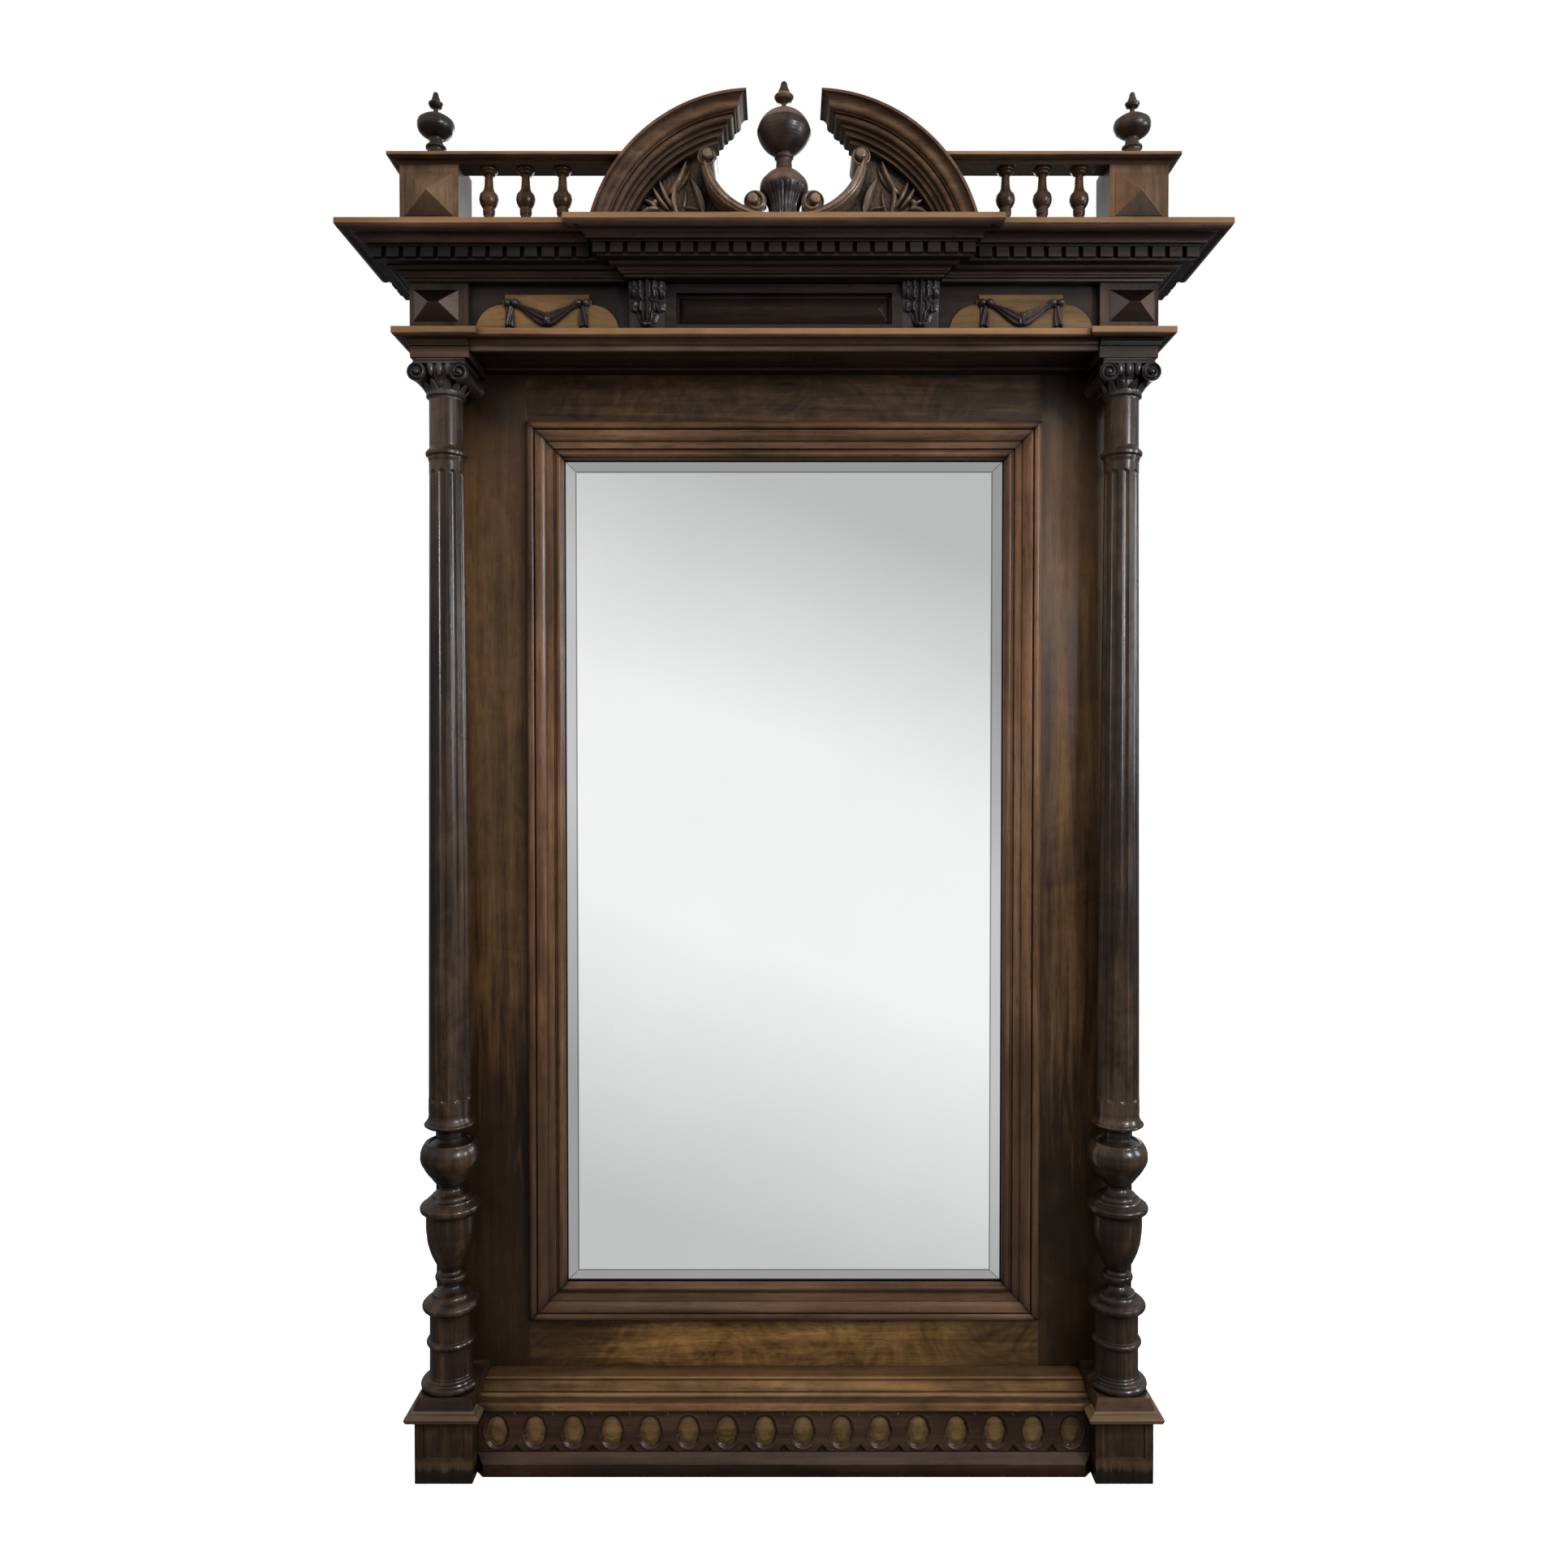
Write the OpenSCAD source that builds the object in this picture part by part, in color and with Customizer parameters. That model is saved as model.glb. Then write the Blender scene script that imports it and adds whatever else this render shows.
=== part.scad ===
// Pier mirror in carved walnut: a framed bevelled glass between two turned columns,
// under a dentil cornice with a gallery and a broken arched pediment.
// Every sub-part is drawn in wall coordinates: x to the right, y the distance in front of
// the wall plane, z the height above the floor. from_wall() turns them into the shared frame.

/* [Frame] */
// width of the opening that holds the moulding and the glass
opening_width = 806; // [720:1:880]
// height of that opening
opening_height = 1415; // [1180:5:1500]
// height of the opening's lower edge above the floor
opening_lift = 193.5; // [190:0.5:230]
// distance from the opening's edge to a column's axis
column_offset = 105; // [98:1:120]
// thickness of the stiles and rails, and how far their face is from the wall
frame_thickness = 38; // [34:1:42]
// how far the glass moulding stands in front of the frame's face
moulding_rise = 17; // [12:1:20]
// width of the glass moulding on every side
moulding_width = 58.5; // [50:0.5:64]

/* [Glass] */
// thickness of the plate
glass_thickness = 6; // [5:0.5:8]
// visible width of the bevel
bevel_width = 20; // [14:1:26]

/* [Columns] */
// distance from the wall to a column's axis
column_depth = 105; // [100:1:108]
// width of the square blocks above and below a column
block_width = 86; // [84:1:92]
// height of the plinth block under its cap
plinth_height = 94; // [88:1:98]
// height of the turned urn and bulb part
column_base_height = 388; // [360:1:410]
// radius of the fluted shaft at its foot
shaft_foot_radius = 31.8; // [30:0.2:33]
// radius of the fluted shaft at its top
shaft_top_radius = 25.4; // [24.6:0.2:28]
// number of flutes round a shaft
flute_count = 10; // [8:1:12]

/* [Base] */
// number of carved roundels on the base board
roundel_count = 16; // [12:1:17]
// distance from the wall to the front of the skirting
skirting_depth = 134; // [130:1:138]

/* [Cornice] */
// projection of the cornice beyond the blocks
cornice_projection = 80; // [74:1:86]
// half the width of the centre break at its foot
break_half_width = 228; // [215:1:232]
// how far the centre break stands forward
break_depth = 15; // [10:1:18]
// width of one dentil
dentil_width = 18; // [16:0.5:20]
// usual gap between two dentils
dentil_gap = 7.6; // [6:0.2:9]

/* [Gallery] */
// clear height between the cornice and the rail
gallery_height = 88; // [82:1:100]
// usual distance between the axes of two balusters
baluster_pitch = 53; // [46:1:56]

/* [Pediment] */
// radius of the arch's outer edge
arch_radius = 240; // [232:1:246]
// radial width of the arch moulding
arch_width = 47; // [44:1:54]
// size of the ball finial, as a share of the one drawn here
finial_scale = 1; // [0.94:0.01:1.04]

/* [Fits] */
// gap round a pin or a tenon in its hole
fit_gap = 0.3; // [0.3:0.05:0.5]
// open line of a butt or mitre joint between two lengths of moulding
joint_line = 0.25; // [0.2:0.05:0.4]

/* [Part] */
// which sub-part to draw; all draws the whole mirror

/* [Hidden] */

walnut = [0.30, 0.20, 0.14];
walnut_light = [0.42, 0.30, 0.19];
walnut_dark = [0.20, 0.14, 0.11];
pine = [0.62, 0.50, 0.34];
silver = [0.82, 0.84, 0.85];
iron = [0.30, 0.30, 0.31];

curve_steps = 8;
round_fn = 96;
through = 1;

// Heights and widths that the other sub-parts share.
half_opening = opening_width / 2;
column_x = half_opening + column_offset;
block_half = block_width / 2;
block_inner = column_x - block_half;
block_outer = column_x + block_half;
stile_outer = block_outer;
opening_top = opening_lift + opening_height;

cap_height = 34;
cap_top = plinth_height + cap_height;
plinth_front = column_depth + 45;
shaft_foot = cap_top + column_base_height;
capital_height = 55;
block_foot = opening_top + 64.5;
capital_foot = block_foot - capital_height;
shaft_length = capital_foot - shaft_foot;

frieze_front = column_depth + 35;
architrave_height = 38;
frieze_foot = block_foot + architrave_height;
frieze_height = 71;
bed_foot = frieze_foot + frieze_height;
bed_height = 15.4;
dentil_foot = bed_foot + bed_height;
dentil_height = 20;
crown_foot = dentil_foot + dentil_height;
crown_height = 22.8;
cornice_top = crown_foot + crown_height;

overall_depth = frieze_front + break_depth + cornice_projection;
wall_y = overall_depth / 2;
overall_half_width = block_outer + cornice_projection;

module from_wall() {
  translate([0, wall_y, 0]) mirror([0, 1, 0]) children();
}

// A plane outline in (y, z) drawn out along x.
module run_x(x0, x1) {
  translate([x0, 0, 0]) rotate([90, 0, 90]) linear_extrude(x1 - x0) children();
}

// A plane outline in (x, z) drawn out along y.
module run_y(y0, y1) {
  translate([0, y1, 0]) rotate([90, 0, 0]) linear_extrude(y1 - y0) children();
}

module block(x0, x1, y0, y1, z0, z1) {
  translate([x0, y0, z0]) cube([x1 - x0, y1 - y0, z1 - z0]);
}

// A round bar along y.
module peg_y(r, y0, y1) {
  translate([0, y0, 0]) rotate([-90, 0, 0]) cylinder(r = r, h = y1 - y0, $fn = round_fn);
}

// Points of an arc from a to b; a positive bulge is to the right of the way from a to b.
function arc_between(a, b, bulge) =
  let (d = b - a)
  let (chord = norm(d))
  let (side = [d[1], -d[0]] / chord)
  let (radius = (chord * chord / 4 + bulge * bulge) / (2 * abs(bulge)))
  let (half_angle = asin(min(1, chord / 2 / radius)))
  [for (i = [1 : curve_steps - 1])
    let (angle = half_angle * (2 * i / curve_steps - 1))
    let (along = radius * sin(angle) + chord / 2)
    let (out = (radius * cos(angle) - (radius - abs(bulge))) * sign(bulge))
    a + d * along / chord + side * out];

// A profile from steps [out, height, bulge of the curve that leads to the next step].
function profile(steps) = [
  for (i = [0 : len(steps) - 1])
    let (here = [steps[i][0], steps[i][1]])
    each concat(
      [here],
      (i < len(steps) - 1 && len(steps[i]) > 2)
        ? arc_between(here, [steps[i + 1][0], steps[i + 1][1]], steps[i][2])
        : [])
];

function first(list) = list[0];
function last(list) = list[len(list) - 1];
function turned_round(list) = [for (i = [len(list) - 1 : -1 : 0]) list[i]];
function raised(list, lift) = [for (p = list) [p[0], p[1] + lift]];

// A turned piece round the z axis from a profile [radius, height].
module turned(points) {
  rotate_extrude($fn = round_fn)
    polygon(concat([[0, first(points)[1]]], points, [[0, last(points)[1]]]));
}

// A block with a moulding [projection, height] on its front and its ends, mitred at the
// corners. left and right are 1 where the moulding returns along that end and 0 where not.
module moulded_block(points, x0, x1, y0, y1, left, right) {
  reach = 100;
  foot = first(points)[1];
  top = last(points)[1];
  intersection() {
    run_x(x0 - reach, x1 + reach)
      polygon(concat([[y0, foot]], [for (p = points) [y1 + p[0], p[1]]], [[y0, top]]));
    run_y(y0, y1 + reach)
      polygon(concat(
        [for (p = points) [x1 + right * p[0], p[1]]],
        [for (p = turned_round(points)) [x0 - left * p[0], p[1]]]));
  }
}

module both_sides() {
  children();
  mirror([1, 0, 0]) children();
}

// ---- Frame -------------------------------------------------------------------

tenon_length = 45;
tenon_inset = 15;
tenon_back = 13;
tenon_front = 25;
rebate_width = 12;
rebate_depth = 10;
groove_depth = 6;
groove_back = 15;
groove_front = 23;
bottom_rail_foot = plinth_height - 4;
top_rail_top = block_foot + 12;
head_rail_foot = frieze_foot + 31;

// The tenon space of one rail in a stile, or the tenon itself when the gap is 0.
module tenon(z0, z1, gap) {
  block(half_opening - through, half_opening + tenon_length + gap, tenon_back, tenon_front,
    z0 + tenon_inset - gap, z1 - tenon_inset + gap);
}

plate_height = 70;
plate_width = 38;
plate_thickness = 2.5;
plate_z = frieze_foot - 20;
plate_x = half_opening + 90;
hook_radius = 4;
hook_pocket_radius = 11;
hook_pocket_depth = 16;
plate_screw_spread = 25;
screw_radius = 2;
screw_head_radius = 3.8;
screw_length = 14;
board_screw_inset = rebate_width / 2;

// Places of the screws that hold the backing boards, on one side.
function board_screw_heights() =
  [for (i = [0 : 3]) opening_lift + opening_height * (0.1 + i * 0.8 / 3)];

module screw_space(gap) {
  rotate([-90, 0, 0]) cylinder(r = screw_radius + gap, h = screw_length + gap, $fn = 24);
  rotate([-90, 0, 0])
    cylinder(r1 = screw_head_radius + gap, r2 = screw_radius + gap,
      h = screw_head_radius - screw_radius, $fn = 24);
}

// All screws of one side, in wall coordinates.
module side_screws(gap) {
  for (up = [-1, 1]) {
    translate([plate_x, 0, plate_z + up * plate_screw_spread]) screw_space(gap);
  }
  for (z = board_screw_heights()) {
    translate([half_opening + board_screw_inset, 0, z]) screw_space(gap);
  }
}

module stile() {
  difference() {
    block(half_opening, stile_outer, 0, frame_thickness, 0, cornice_top);
    tenon(bottom_rail_foot, opening_lift, fit_gap);
    tenon(opening_top, top_rail_top, fit_gap);
    tenon(head_rail_foot, cornice_top, fit_gap);
    block(half_opening - through, half_opening + rebate_width, -through, rebate_depth,
      opening_lift - rebate_width, opening_top + rebate_width);
    block(half_opening - through, half_opening + groove_depth + fit_gap, groove_back,
      groove_front, opening_lift - groove_depth, opening_top + groove_depth);
    block(plate_x - plate_width / 2, plate_x + plate_width / 2, -through, plate_thickness,
      plate_z - plate_height / 2, plate_z + plate_height / 2);
    translate([plate_x, 0, plate_z]) peg_y(hook_pocket_radius, 0, hook_pocket_depth);
    side_screws(fit_gap);
  }
}

module stile_left() color(walnut) from_wall() mirror([1, 0, 0]) stile();
module stile_right() color(walnut) from_wall() stile();

// A rail with a tenon at both ends.
module rail(z0, z1) {
  block(-half_opening, half_opening, 0, frame_thickness, z0, z1);
  both_sides() tenon(z0, z1, 0);
}

// What the backing boards and the moulding's tongue take out of a rail's edge.
module rail_grooves(edge, way) {
  z_rebate = edge + way * rebate_width;
  z_groove = edge + way * (groove_depth + fit_gap);
  block(-half_opening - through, half_opening + through, -through, rebate_depth,
    min(edge - way * through, z_rebate), max(edge - way * through, z_rebate));
  block(-half_opening - through, half_opening + through, groove_back, groove_front,
    min(edge - way * through, z_groove), max(edge - way * through, z_groove));
}

module bottom_rail() color(walnut_light) from_wall() difference() {
  rail(bottom_rail_foot, opening_lift);
  rail_grooves(opening_lift, -1);
}

module top_rail() color(walnut) from_wall() difference() {
  rail(opening_top, top_rail_top);
  rail_grooves(opening_top, 1);
}

module head_rail() color(walnut) from_wall() rail(head_rail_foot, cornice_top);

// ---- Glass and its moulding ----------------------------------------------------

glass_lap = 9;
glass_back = 28;
glass_front = glass_back + glass_thickness;
bevel_edge = 3;
sight = moulding_width;
moulding_face = frame_thickness + moulding_rise;

// Section of the glass moulding in [distance inwards from the opening's edge, depth]: tongue,
// outer roll, quirk, wide band, hollow, inner roll and fillet, then the rebate for the glass.
function moulding_section() = let (face = moulding_face) concat(
  [[0, rebate_depth], [0, groove_back], [-groove_depth, groove_back],
    [-groove_depth, groove_front], [0, groove_front]],
  profile([
    [0, face - 12], [1.5, face - 10, -3.5], [12, face - 4, -1], [13, face - 8], [16, face - 9],
    [16, face - 4.5, -1.4], [31, face - 9], [31, face - 11.5], [0.72 * sight, face - 12.5],
    [0.74 * sight, face - 15.5], [0.8 * sight, face - 15.5], [0.8 * sight, face - 13, -3],
    [0.95 * sight, face - 15.5], [sight, face - 18]]),
  [[sight, glass_front], [sight - glass_lap, glass_front], [sight - glass_lap, rebate_depth]]);

// A length of the moulding with both ends mitred.
module mitred_run(length) {
  reach = length / 2 + groove_depth;
  peak = length / 2;
  intersection() {
    run_x(-reach, reach) polygon([for (p = moulding_section()) [p[1], p[0]]]);
    run_y(0, moulding_face + through)
      polygon([[-reach, -groove_depth], [reach, -groove_depth], [0, peak]]);
  }
}

// A side of the moulding, turned about the y axis into its place.
module moulding_side(turn, length, x, z) {
  translate([x, 0, z]) rotate([0, turn, 0]) mitred_run(length);
}

mid_height = opening_lift + opening_height / 2;

module moulding_bottom() color(walnut_light) from_wall()
  moulding_side(0, opening_width, 0, opening_lift);
module moulding_top() color(walnut_light) from_wall()
  moulding_side(180, opening_width, 0, opening_top);
module moulding_left() color(walnut) from_wall()
  moulding_side(90, opening_height, -half_opening, mid_height);
module moulding_right() color(walnut) from_wall()
  moulding_side(-90, opening_height, half_opening, mid_height);

glass_half_x = half_opening - moulding_width + glass_lap - fit_gap;
glass_half_z = opening_height / 2 - moulding_width + glass_lap - fit_gap;
bevel_total = bevel_width + glass_lap;

// Half outline of the bevelled plate: [distance from the middle, depth].
function bevelled_plate(half) = [
  [-half, glass_back], [half, glass_back], [half, glass_back + bevel_edge],
  [half - bevel_total, glass_front], [bevel_total - half, glass_front],
  [-half, glass_back + bevel_edge]
];

module mirror_glass() color(silver) from_wall() translate([0, 0, mid_height])
  intersection() {
    run_x(-glass_half_x, glass_half_x)
      polygon([for (p = bevelled_plate(glass_half_z)) [p[1], p[0]]]);
    translate([0, 0, -glass_half_z]) linear_extrude(2 * glass_half_z)
      polygon(bevelled_plate(glass_half_x));
  }

fillet_back = 18;
fillet_width = glass_lap + 6;

module glazing_fillets() color(pine) from_wall() {
  x1 = glass_half_x;
  z0 = mid_height - glass_half_z;
  z1 = mid_height + glass_half_z;
  reach = x1 - fillet_width - joint_line;
  both_sides() block(x1 - fillet_width, x1, fillet_back, glass_back, z0, z1);
  for (z = [z0, z1 - fillet_width]) {
    block(-reach, reach, fillet_back, glass_back, z, z + fillet_width);
  }
}

board_count = 5;
board_gap = 1;

module backing_boards() color(pine) from_wall() {
  board_half = half_opening + rebate_width - fit_gap;
  board_width = 2 * board_half / board_count;
  difference() {
    for (i = [0 : board_count - 1]) {
      block(i * board_width - board_half, (i + 1) * board_width - board_half - board_gap, 0,
        rebate_depth, opening_lift - rebate_width + fit_gap,
        opening_top + rebate_width - fit_gap);
    }
    both_sides() side_screws(fit_gap);
  }
}

// ---- Plinths and columns ---------------------------------------------------------

panel_margin = 12.5;
panel_foot = 39;
panel_top = plinth_height - 3;
panel_sink = 2;
pin_radius = 9;
pin_length = 24;

module plinth() difference() {
  block(block_inner, block_outer, frame_thickness, plinth_front, 0, plinth_height);
  block(block_inner + panel_margin, block_outer - panel_margin, plinth_front - panel_sink,
    plinth_front + through, panel_foot, panel_top);
}

module plinth_left() color(walnut_dark) from_wall() mirror([1, 0, 0]) plinth();
module plinth_right() color(walnut_dark) from_wall() plinth();

cap_nose = 12;
ledge_front = 128;

function cap_section() = profile([
  [0, plinth_height], [7, plinth_height + 0.5, 1.6], [cap_nose, plinth_height + 6.5, 1.2],
  [cap_nose - 0.5, plinth_height + 10], [3, plinth_height + 15], [1.5, plinth_height + 15.8],
  [-3.5, cap_top]]);

module plinth_cap() difference() {
  moulded_block(cap_section(), block_inner, block_outer, frame_thickness, plinth_front, 1, 1);
  block(block_inner - 2 * cap_nose, block_inner, 0, ledge_front + 2, 0, cap_top + through);
  translate([column_x, column_depth, cap_top - pin_length - fit_gap])
    cylinder(r = pin_radius + fit_gap, h = pin_length + 2, $fn = round_fn);
}

module plinth_cap_left() color(walnut) from_wall() mirror([1, 0, 0]) plinth_cap();
module plinth_cap_right() color(walnut) from_wall() plinth_cap();

// The urn and bulb part, heights measured from its foot for the full height drawn here.
column_base_drawn = 388;
function column_base_steps() = [
  [39, 0, 6], [39, 12], [38, 14, -2], [33, 20], [32.3, 21], [32, 63],
  [33, 64, 3.6], [33, 74], [32, 75], [31.8, 111, -1.2], [36, 117],
  [40, 119, 1.6], [41.8, 128], [38, 132], [34.5, 134, -2.2], [27, 143, -2.4], [13, 152],
  [12.8, 157], [19, 160, 1.6], [23.4, 166.5, 1], [21, 171, -2.2], [15.2, 177.5],
  [17.4, 180.5, 0.5], [26.2, 196, 0.5], [32.2, 213, 0.7], [35.4, 231, 0.5], [36.6, 252], [36.6, 262],
  [41, 267, 1.4], [45.3, 273, 1.2], [42, 279], [35, 284], [34, 286, -2.2], [27, 293, -2],
  [16, 301], [16, 305], [18.5, 307.5, 0.8], [29, 320, 0.8], [40.2, 337, 1.8],
  [44.3, 354, 1.6], [38, 371, 0.8], [35, 373.5], [31.5, 373], [30, 371.5, -1.6], [19, 378], [19, 388]
];

module column_base() {
  stretch = column_base_height / column_base_drawn;
  difference() {
    union() {
      turned(profile([for (s = column_base_steps())
        len(s) > 2 ? [s[0], s[1] * stretch, s[2]] : [s[0], s[1] * stretch]]));
      translate([0, 0, -pin_length]) cylinder(r = pin_radius, h = pin_length + through,
        $fn = round_fn);
    }
    translate([0, 0, column_base_height - pin_length - fit_gap])
      cylinder(r = pin_radius + fit_gap, h = pin_length + 2, $fn = round_fn);
  }
}

module column_base_left() color(walnut) from_wall()
  translate([-column_x, column_depth, cap_top]) column_base();
module column_base_right() color(walnut) from_wall()
  translate([column_x, column_depth, cap_top]) column_base();

flute_foot = 47;
flute_head = shaft_length - 103;
flute_radius = 7.6;
flute_centre = 4.9;
taper_foot = 44;
taper_head = shaft_length - 94;
neck_radius = 24.9;

function shaft_steps() = [
  [20, 0], [21, 3], [24, 5, -1.2], [34, 8.5], [37.6, 11, 1.2], [37, 15], [35, 16.5],
  [34.6, 18, -1.4], [32, 32], [shaft_foot_radius, taper_foot], [shaft_top_radius, taper_head],
  [shaft_top_radius, taper_head + 2], [27, taper_head + 7, -1.2], [30, taper_head + 12],
  [30.6, taper_head + 16], [28.5, taper_head + 19, -1.2], [neck_radius, taper_head + 27],
  [neck_radius, shaft_length]
];

module column_shaft() {
  taper = (shaft_foot_radius - shaft_top_radius) / (taper_head - taper_foot);
  lean = atan(taper);
  flute_length = flute_head - flute_foot - 2 * flute_radius;
  difference() {
    turned(profile(shaft_steps()));
    for (i = [0 : flute_count - 1]) {
      rotate([0, 0, (i + 0.5) * 360 / flute_count])
        translate([shaft_foot_radius + flute_centre, 0, flute_foot + flute_radius])
          rotate([0, -lean, 0]) {
            cylinder(r = flute_radius, h = flute_length, $fn = round_fn);
            sphere(r = flute_radius, $fn = round_fn);
            translate([0, 0, flute_length]) sphere(r = flute_radius, $fn = round_fn);
          }
    }
  }
  translate([0, 0, -pin_length]) cylinder(r = pin_radius, h = pin_length + through,
    $fn = round_fn);
  translate([0, 0, shaft_length - through]) cylinder(r = pin_radius,
    h = pin_length + through, $fn = round_fn);
}

module column_shaft_left() color(walnut) from_wall()
  translate([-column_x, column_depth, shaft_foot]) column_shaft();
module column_shaft_right() color(walnut) from_wall()
  translate([column_x, column_depth, shaft_foot]) column_shaft();

volute_height = 31;
volute_offset = 31.5;
volute_radius = 12.5;
volute_front = 45;
abacus_half = 38.5;
abacus_height = 6.5;
abacus_neck_height = 3;
abacus_neck_inset = 4.5;
abacus_foot = capital_height - abacus_height - abacus_neck_height;

function bell_steps() = [
  [neck_radius, 0], [25.5, 1], [25.5, 3, 4], [25.5, 12], [25, 14, -1.5], [29, 24, 2.5],
  [36, 38, 0.8], [36.5, abacus_foot]
];

// One rolled side of the capital: a waisted roll along y with a disc at both ends.
module capital_roll() {
  points = profile([[volute_radius, -volute_front], [volute_radius, -volute_front + 8],
    [volute_radius - 2, -volute_front + 9, -2.5], [volute_radius - 2, volute_front - 9],
    [volute_radius, volute_front - 8], [volute_radius, volute_front]]);
  translate([volute_offset, 0, volute_height]) {
    rotate([-90, 0, 0]) turned(points);
    peg_y(4, -volute_front - 2, volute_front + 2);
  }
}

module capital() {
  neck_half = abacus_half - abacus_neck_inset;
  difference() {
    union() {
      turned(profile(bell_steps()));
      both_sides() capital_roll();
      block(-abacus_half, abacus_half, -abacus_half, abacus_half, abacus_foot,
        abacus_foot + abacus_height);
      block(-neck_half, neck_half, -neck_half, neck_half, abacus_foot, capital_height);
      for (i = [-1 : 1]) {
        translate([i * 13, 0, abacus_foot - 7]) rotate([90, 0, 0])
          cylinder(r = 5.5, h = 84, center = true, $fn = 32);
      }
    }
    translate([0, 0, -through])
      cylinder(r = pin_radius + fit_gap, h = pin_length + 2, $fn = round_fn);
  }
}

module capital_left() color(walnut_dark) from_wall()
  translate([-column_x, column_depth, capital_foot]) capital();
module capital_right() color(walnut_dark) from_wall()
  translate([column_x, column_depth, capital_foot]) capital();

// ---- Base ------------------------------------------------------------------------

roundel_front = skirting_depth - 14;
roundel_back = roundel_front - 22;
skirting_top = 31;
skirting_bevel = 12;
ledge_top = plinth_height + 24;
ledge_foot = plinth_height + 2;

module skirting() color(walnut_dark) from_wall() difference() {
  run_x(-block_inner, block_inner) polygon([
    [roundel_back, 0], [skirting_depth, 0], [skirting_depth, skirting_top - skirting_bevel],
    [skirting_depth - skirting_bevel, skirting_top], [roundel_back, skirting_top]]);
  both_sides() translate([0, 0, -through]) linear_extrude(skirting_top + 2 * through)
    polygon([[block_inner - skirting_bevel, skirting_depth + through],
      [block_inner + through, skirting_depth - skirting_bevel - 2],
      [block_inner + through, skirting_depth + through]]);
}

roundel_height = 61;
roundel_sink = 4;
roundel_half_width = 19.2;
roundel_lobe_radius = 16.5;
roundel_lobe_shift = 9;

// A lobed oval field.
module roundel_outline() {
  circle(r = roundel_half_width, $fn = round_fn);
  for (up = [-1, 1]) {
    translate([0, up * roundel_lobe_shift]) circle(r = roundel_lobe_radius, $fn = round_fn);
  }
}

module roundel_board() color(walnut) from_wall() {
  pitch = 2 * block_inner / roundel_count;
  start = -pitch * (roundel_count - 1) / 2;
  difference() {
    block(-block_inner, block_inner, roundel_back, roundel_front, skirting_top, ledge_foot);
    run_y(roundel_front - roundel_sink, roundel_front + through) {
      for (i = [0 : roundel_count - 1]) {
        translate([start + i * pitch, roundel_height]) roundel_outline();
      }
      for (i = [1 : roundel_count - 1]) {
        translate([start + (i - 0.5) * pitch, 0]) {
          polygon([[-8, ledge_foot + 1], [8, ledge_foot + 1], [0, ledge_foot - 12]]);
          polygon([[-8, skirting_top - 1], [0, skirting_top + 12], [8, skirting_top - 1]]);
        }
      }
    }
  }
}

function ledge_section() = profile([
  [ledge_front - 1, ledge_foot], [ledge_front, ledge_foot + 2], [ledge_front - 1, ledge_foot + 8, 0.8],
  [ledge_front - 4, ledge_foot + 11.7, 0.8], [ledge_front - 24, ledge_foot + 8.5],
  [ledge_front - 25, ledge_foot + 11.4], [ledge_front - 30, ledge_foot + 11.4],
  [ledge_front - 32, ledge_foot + 12.5, -1.2], [ledge_front - 44, ledge_foot + 17, 1.6],
  [ledge_front - 56, ledge_top - 1], [ledge_front - 60, ledge_top - 0.5]]);

module base_ledge() color(walnut_light) from_wall() run_x(-block_inner, block_inner)
  polygon(concat([[frame_thickness, ledge_foot]], ledge_section(),
    [[frame_thickness, ledge_top]]));

// ---- Architrave and frieze -----------------------------------------------------------

ear_nose = 21;
ear_plain = 19;

function ear_section() = profile([
  [0, block_foot], [0, block_foot + ear_plain - 2], [3.5, block_foot + ear_plain - 2],
  [3.5, block_foot + ear_plain + 1], [5, block_foot + ear_plain + 1, -2],
  [12, block_foot + 25, 1.6], [ear_nose, block_foot + 29], [ear_nose, frieze_foot]]);

architrave_front = frieze_front + 13;

module architrave_block() difference() {
  moulded_block(ear_section(), block_inner, block_outer, frame_thickness, frieze_front, 0.8, 1);
  block(block_inner - 2 * ear_nose, block_inner, 0, architrave_front + fit_gap, 0,
    frieze_foot + through);
}

module architrave_block_left() color(walnut) from_wall() mirror([1, 0, 0]) architrave_block();
module architrave_block_right() color(walnut) from_wall() architrave_block();

function architrave_section() = profile([
  [frame_thickness, block_foot + 9], [frame_thickness + 19, block_foot + 9, 1.2],
  [frame_thickness + 22, block_foot + 13], [frieze_front - 9, block_foot + 13],
  [frieze_front - 7, block_foot + 10.5, 1.8], [frieze_front - 3, block_foot + 15.5],
  [frieze_front - 3, block_foot + 17], [frieze_front, block_foot + 20, -1.8],
  [frieze_front + 6, block_foot + 26, 1.6], [architrave_front, block_foot + 30],
  [architrave_front, frieze_foot], [frame_thickness, frieze_foot]]);

module architrave() color(walnut) from_wall()
  run_x(-block_inner, block_inner) polygon(architrave_section());

frieze_ground = frieze_front - 12;
frieze_back = frieze_ground - 22;

module frieze_board() color(walnut_dark) from_wall()
  block(-block_inner, block_inner, frieze_back, frieze_ground, frieze_foot, bed_foot);

module frieze_block() block(block_inner, block_outer, frame_thickness, frieze_front,
  frieze_foot, bed_foot);

module frieze_block_left() color(walnut) from_wall() mirror([1, 0, 0]) frieze_block();
module frieze_block_right() color(walnut) from_wall() frieze_block();

// A hipped boss on a face at depth y: base w by h, a ridge of the given length along x.
module boss(w, h, rise, ridge, y) {
  translate([0, y, 0]) polyhedron(
    points = [[-w / 2, 0, -h / 2], [w / 2, 0, -h / 2], [w / 2, 0, h / 2], [-w / 2, 0, h / 2],
      [-ridge / 2, rise, 0], [ridge / 2, rise, 0]],
    faces = [[3, 2, 1, 0], [0, 1, 5, 4], [1, 2, 5], [2, 3, 4, 5], [3, 0, 4]]);
}

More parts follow.
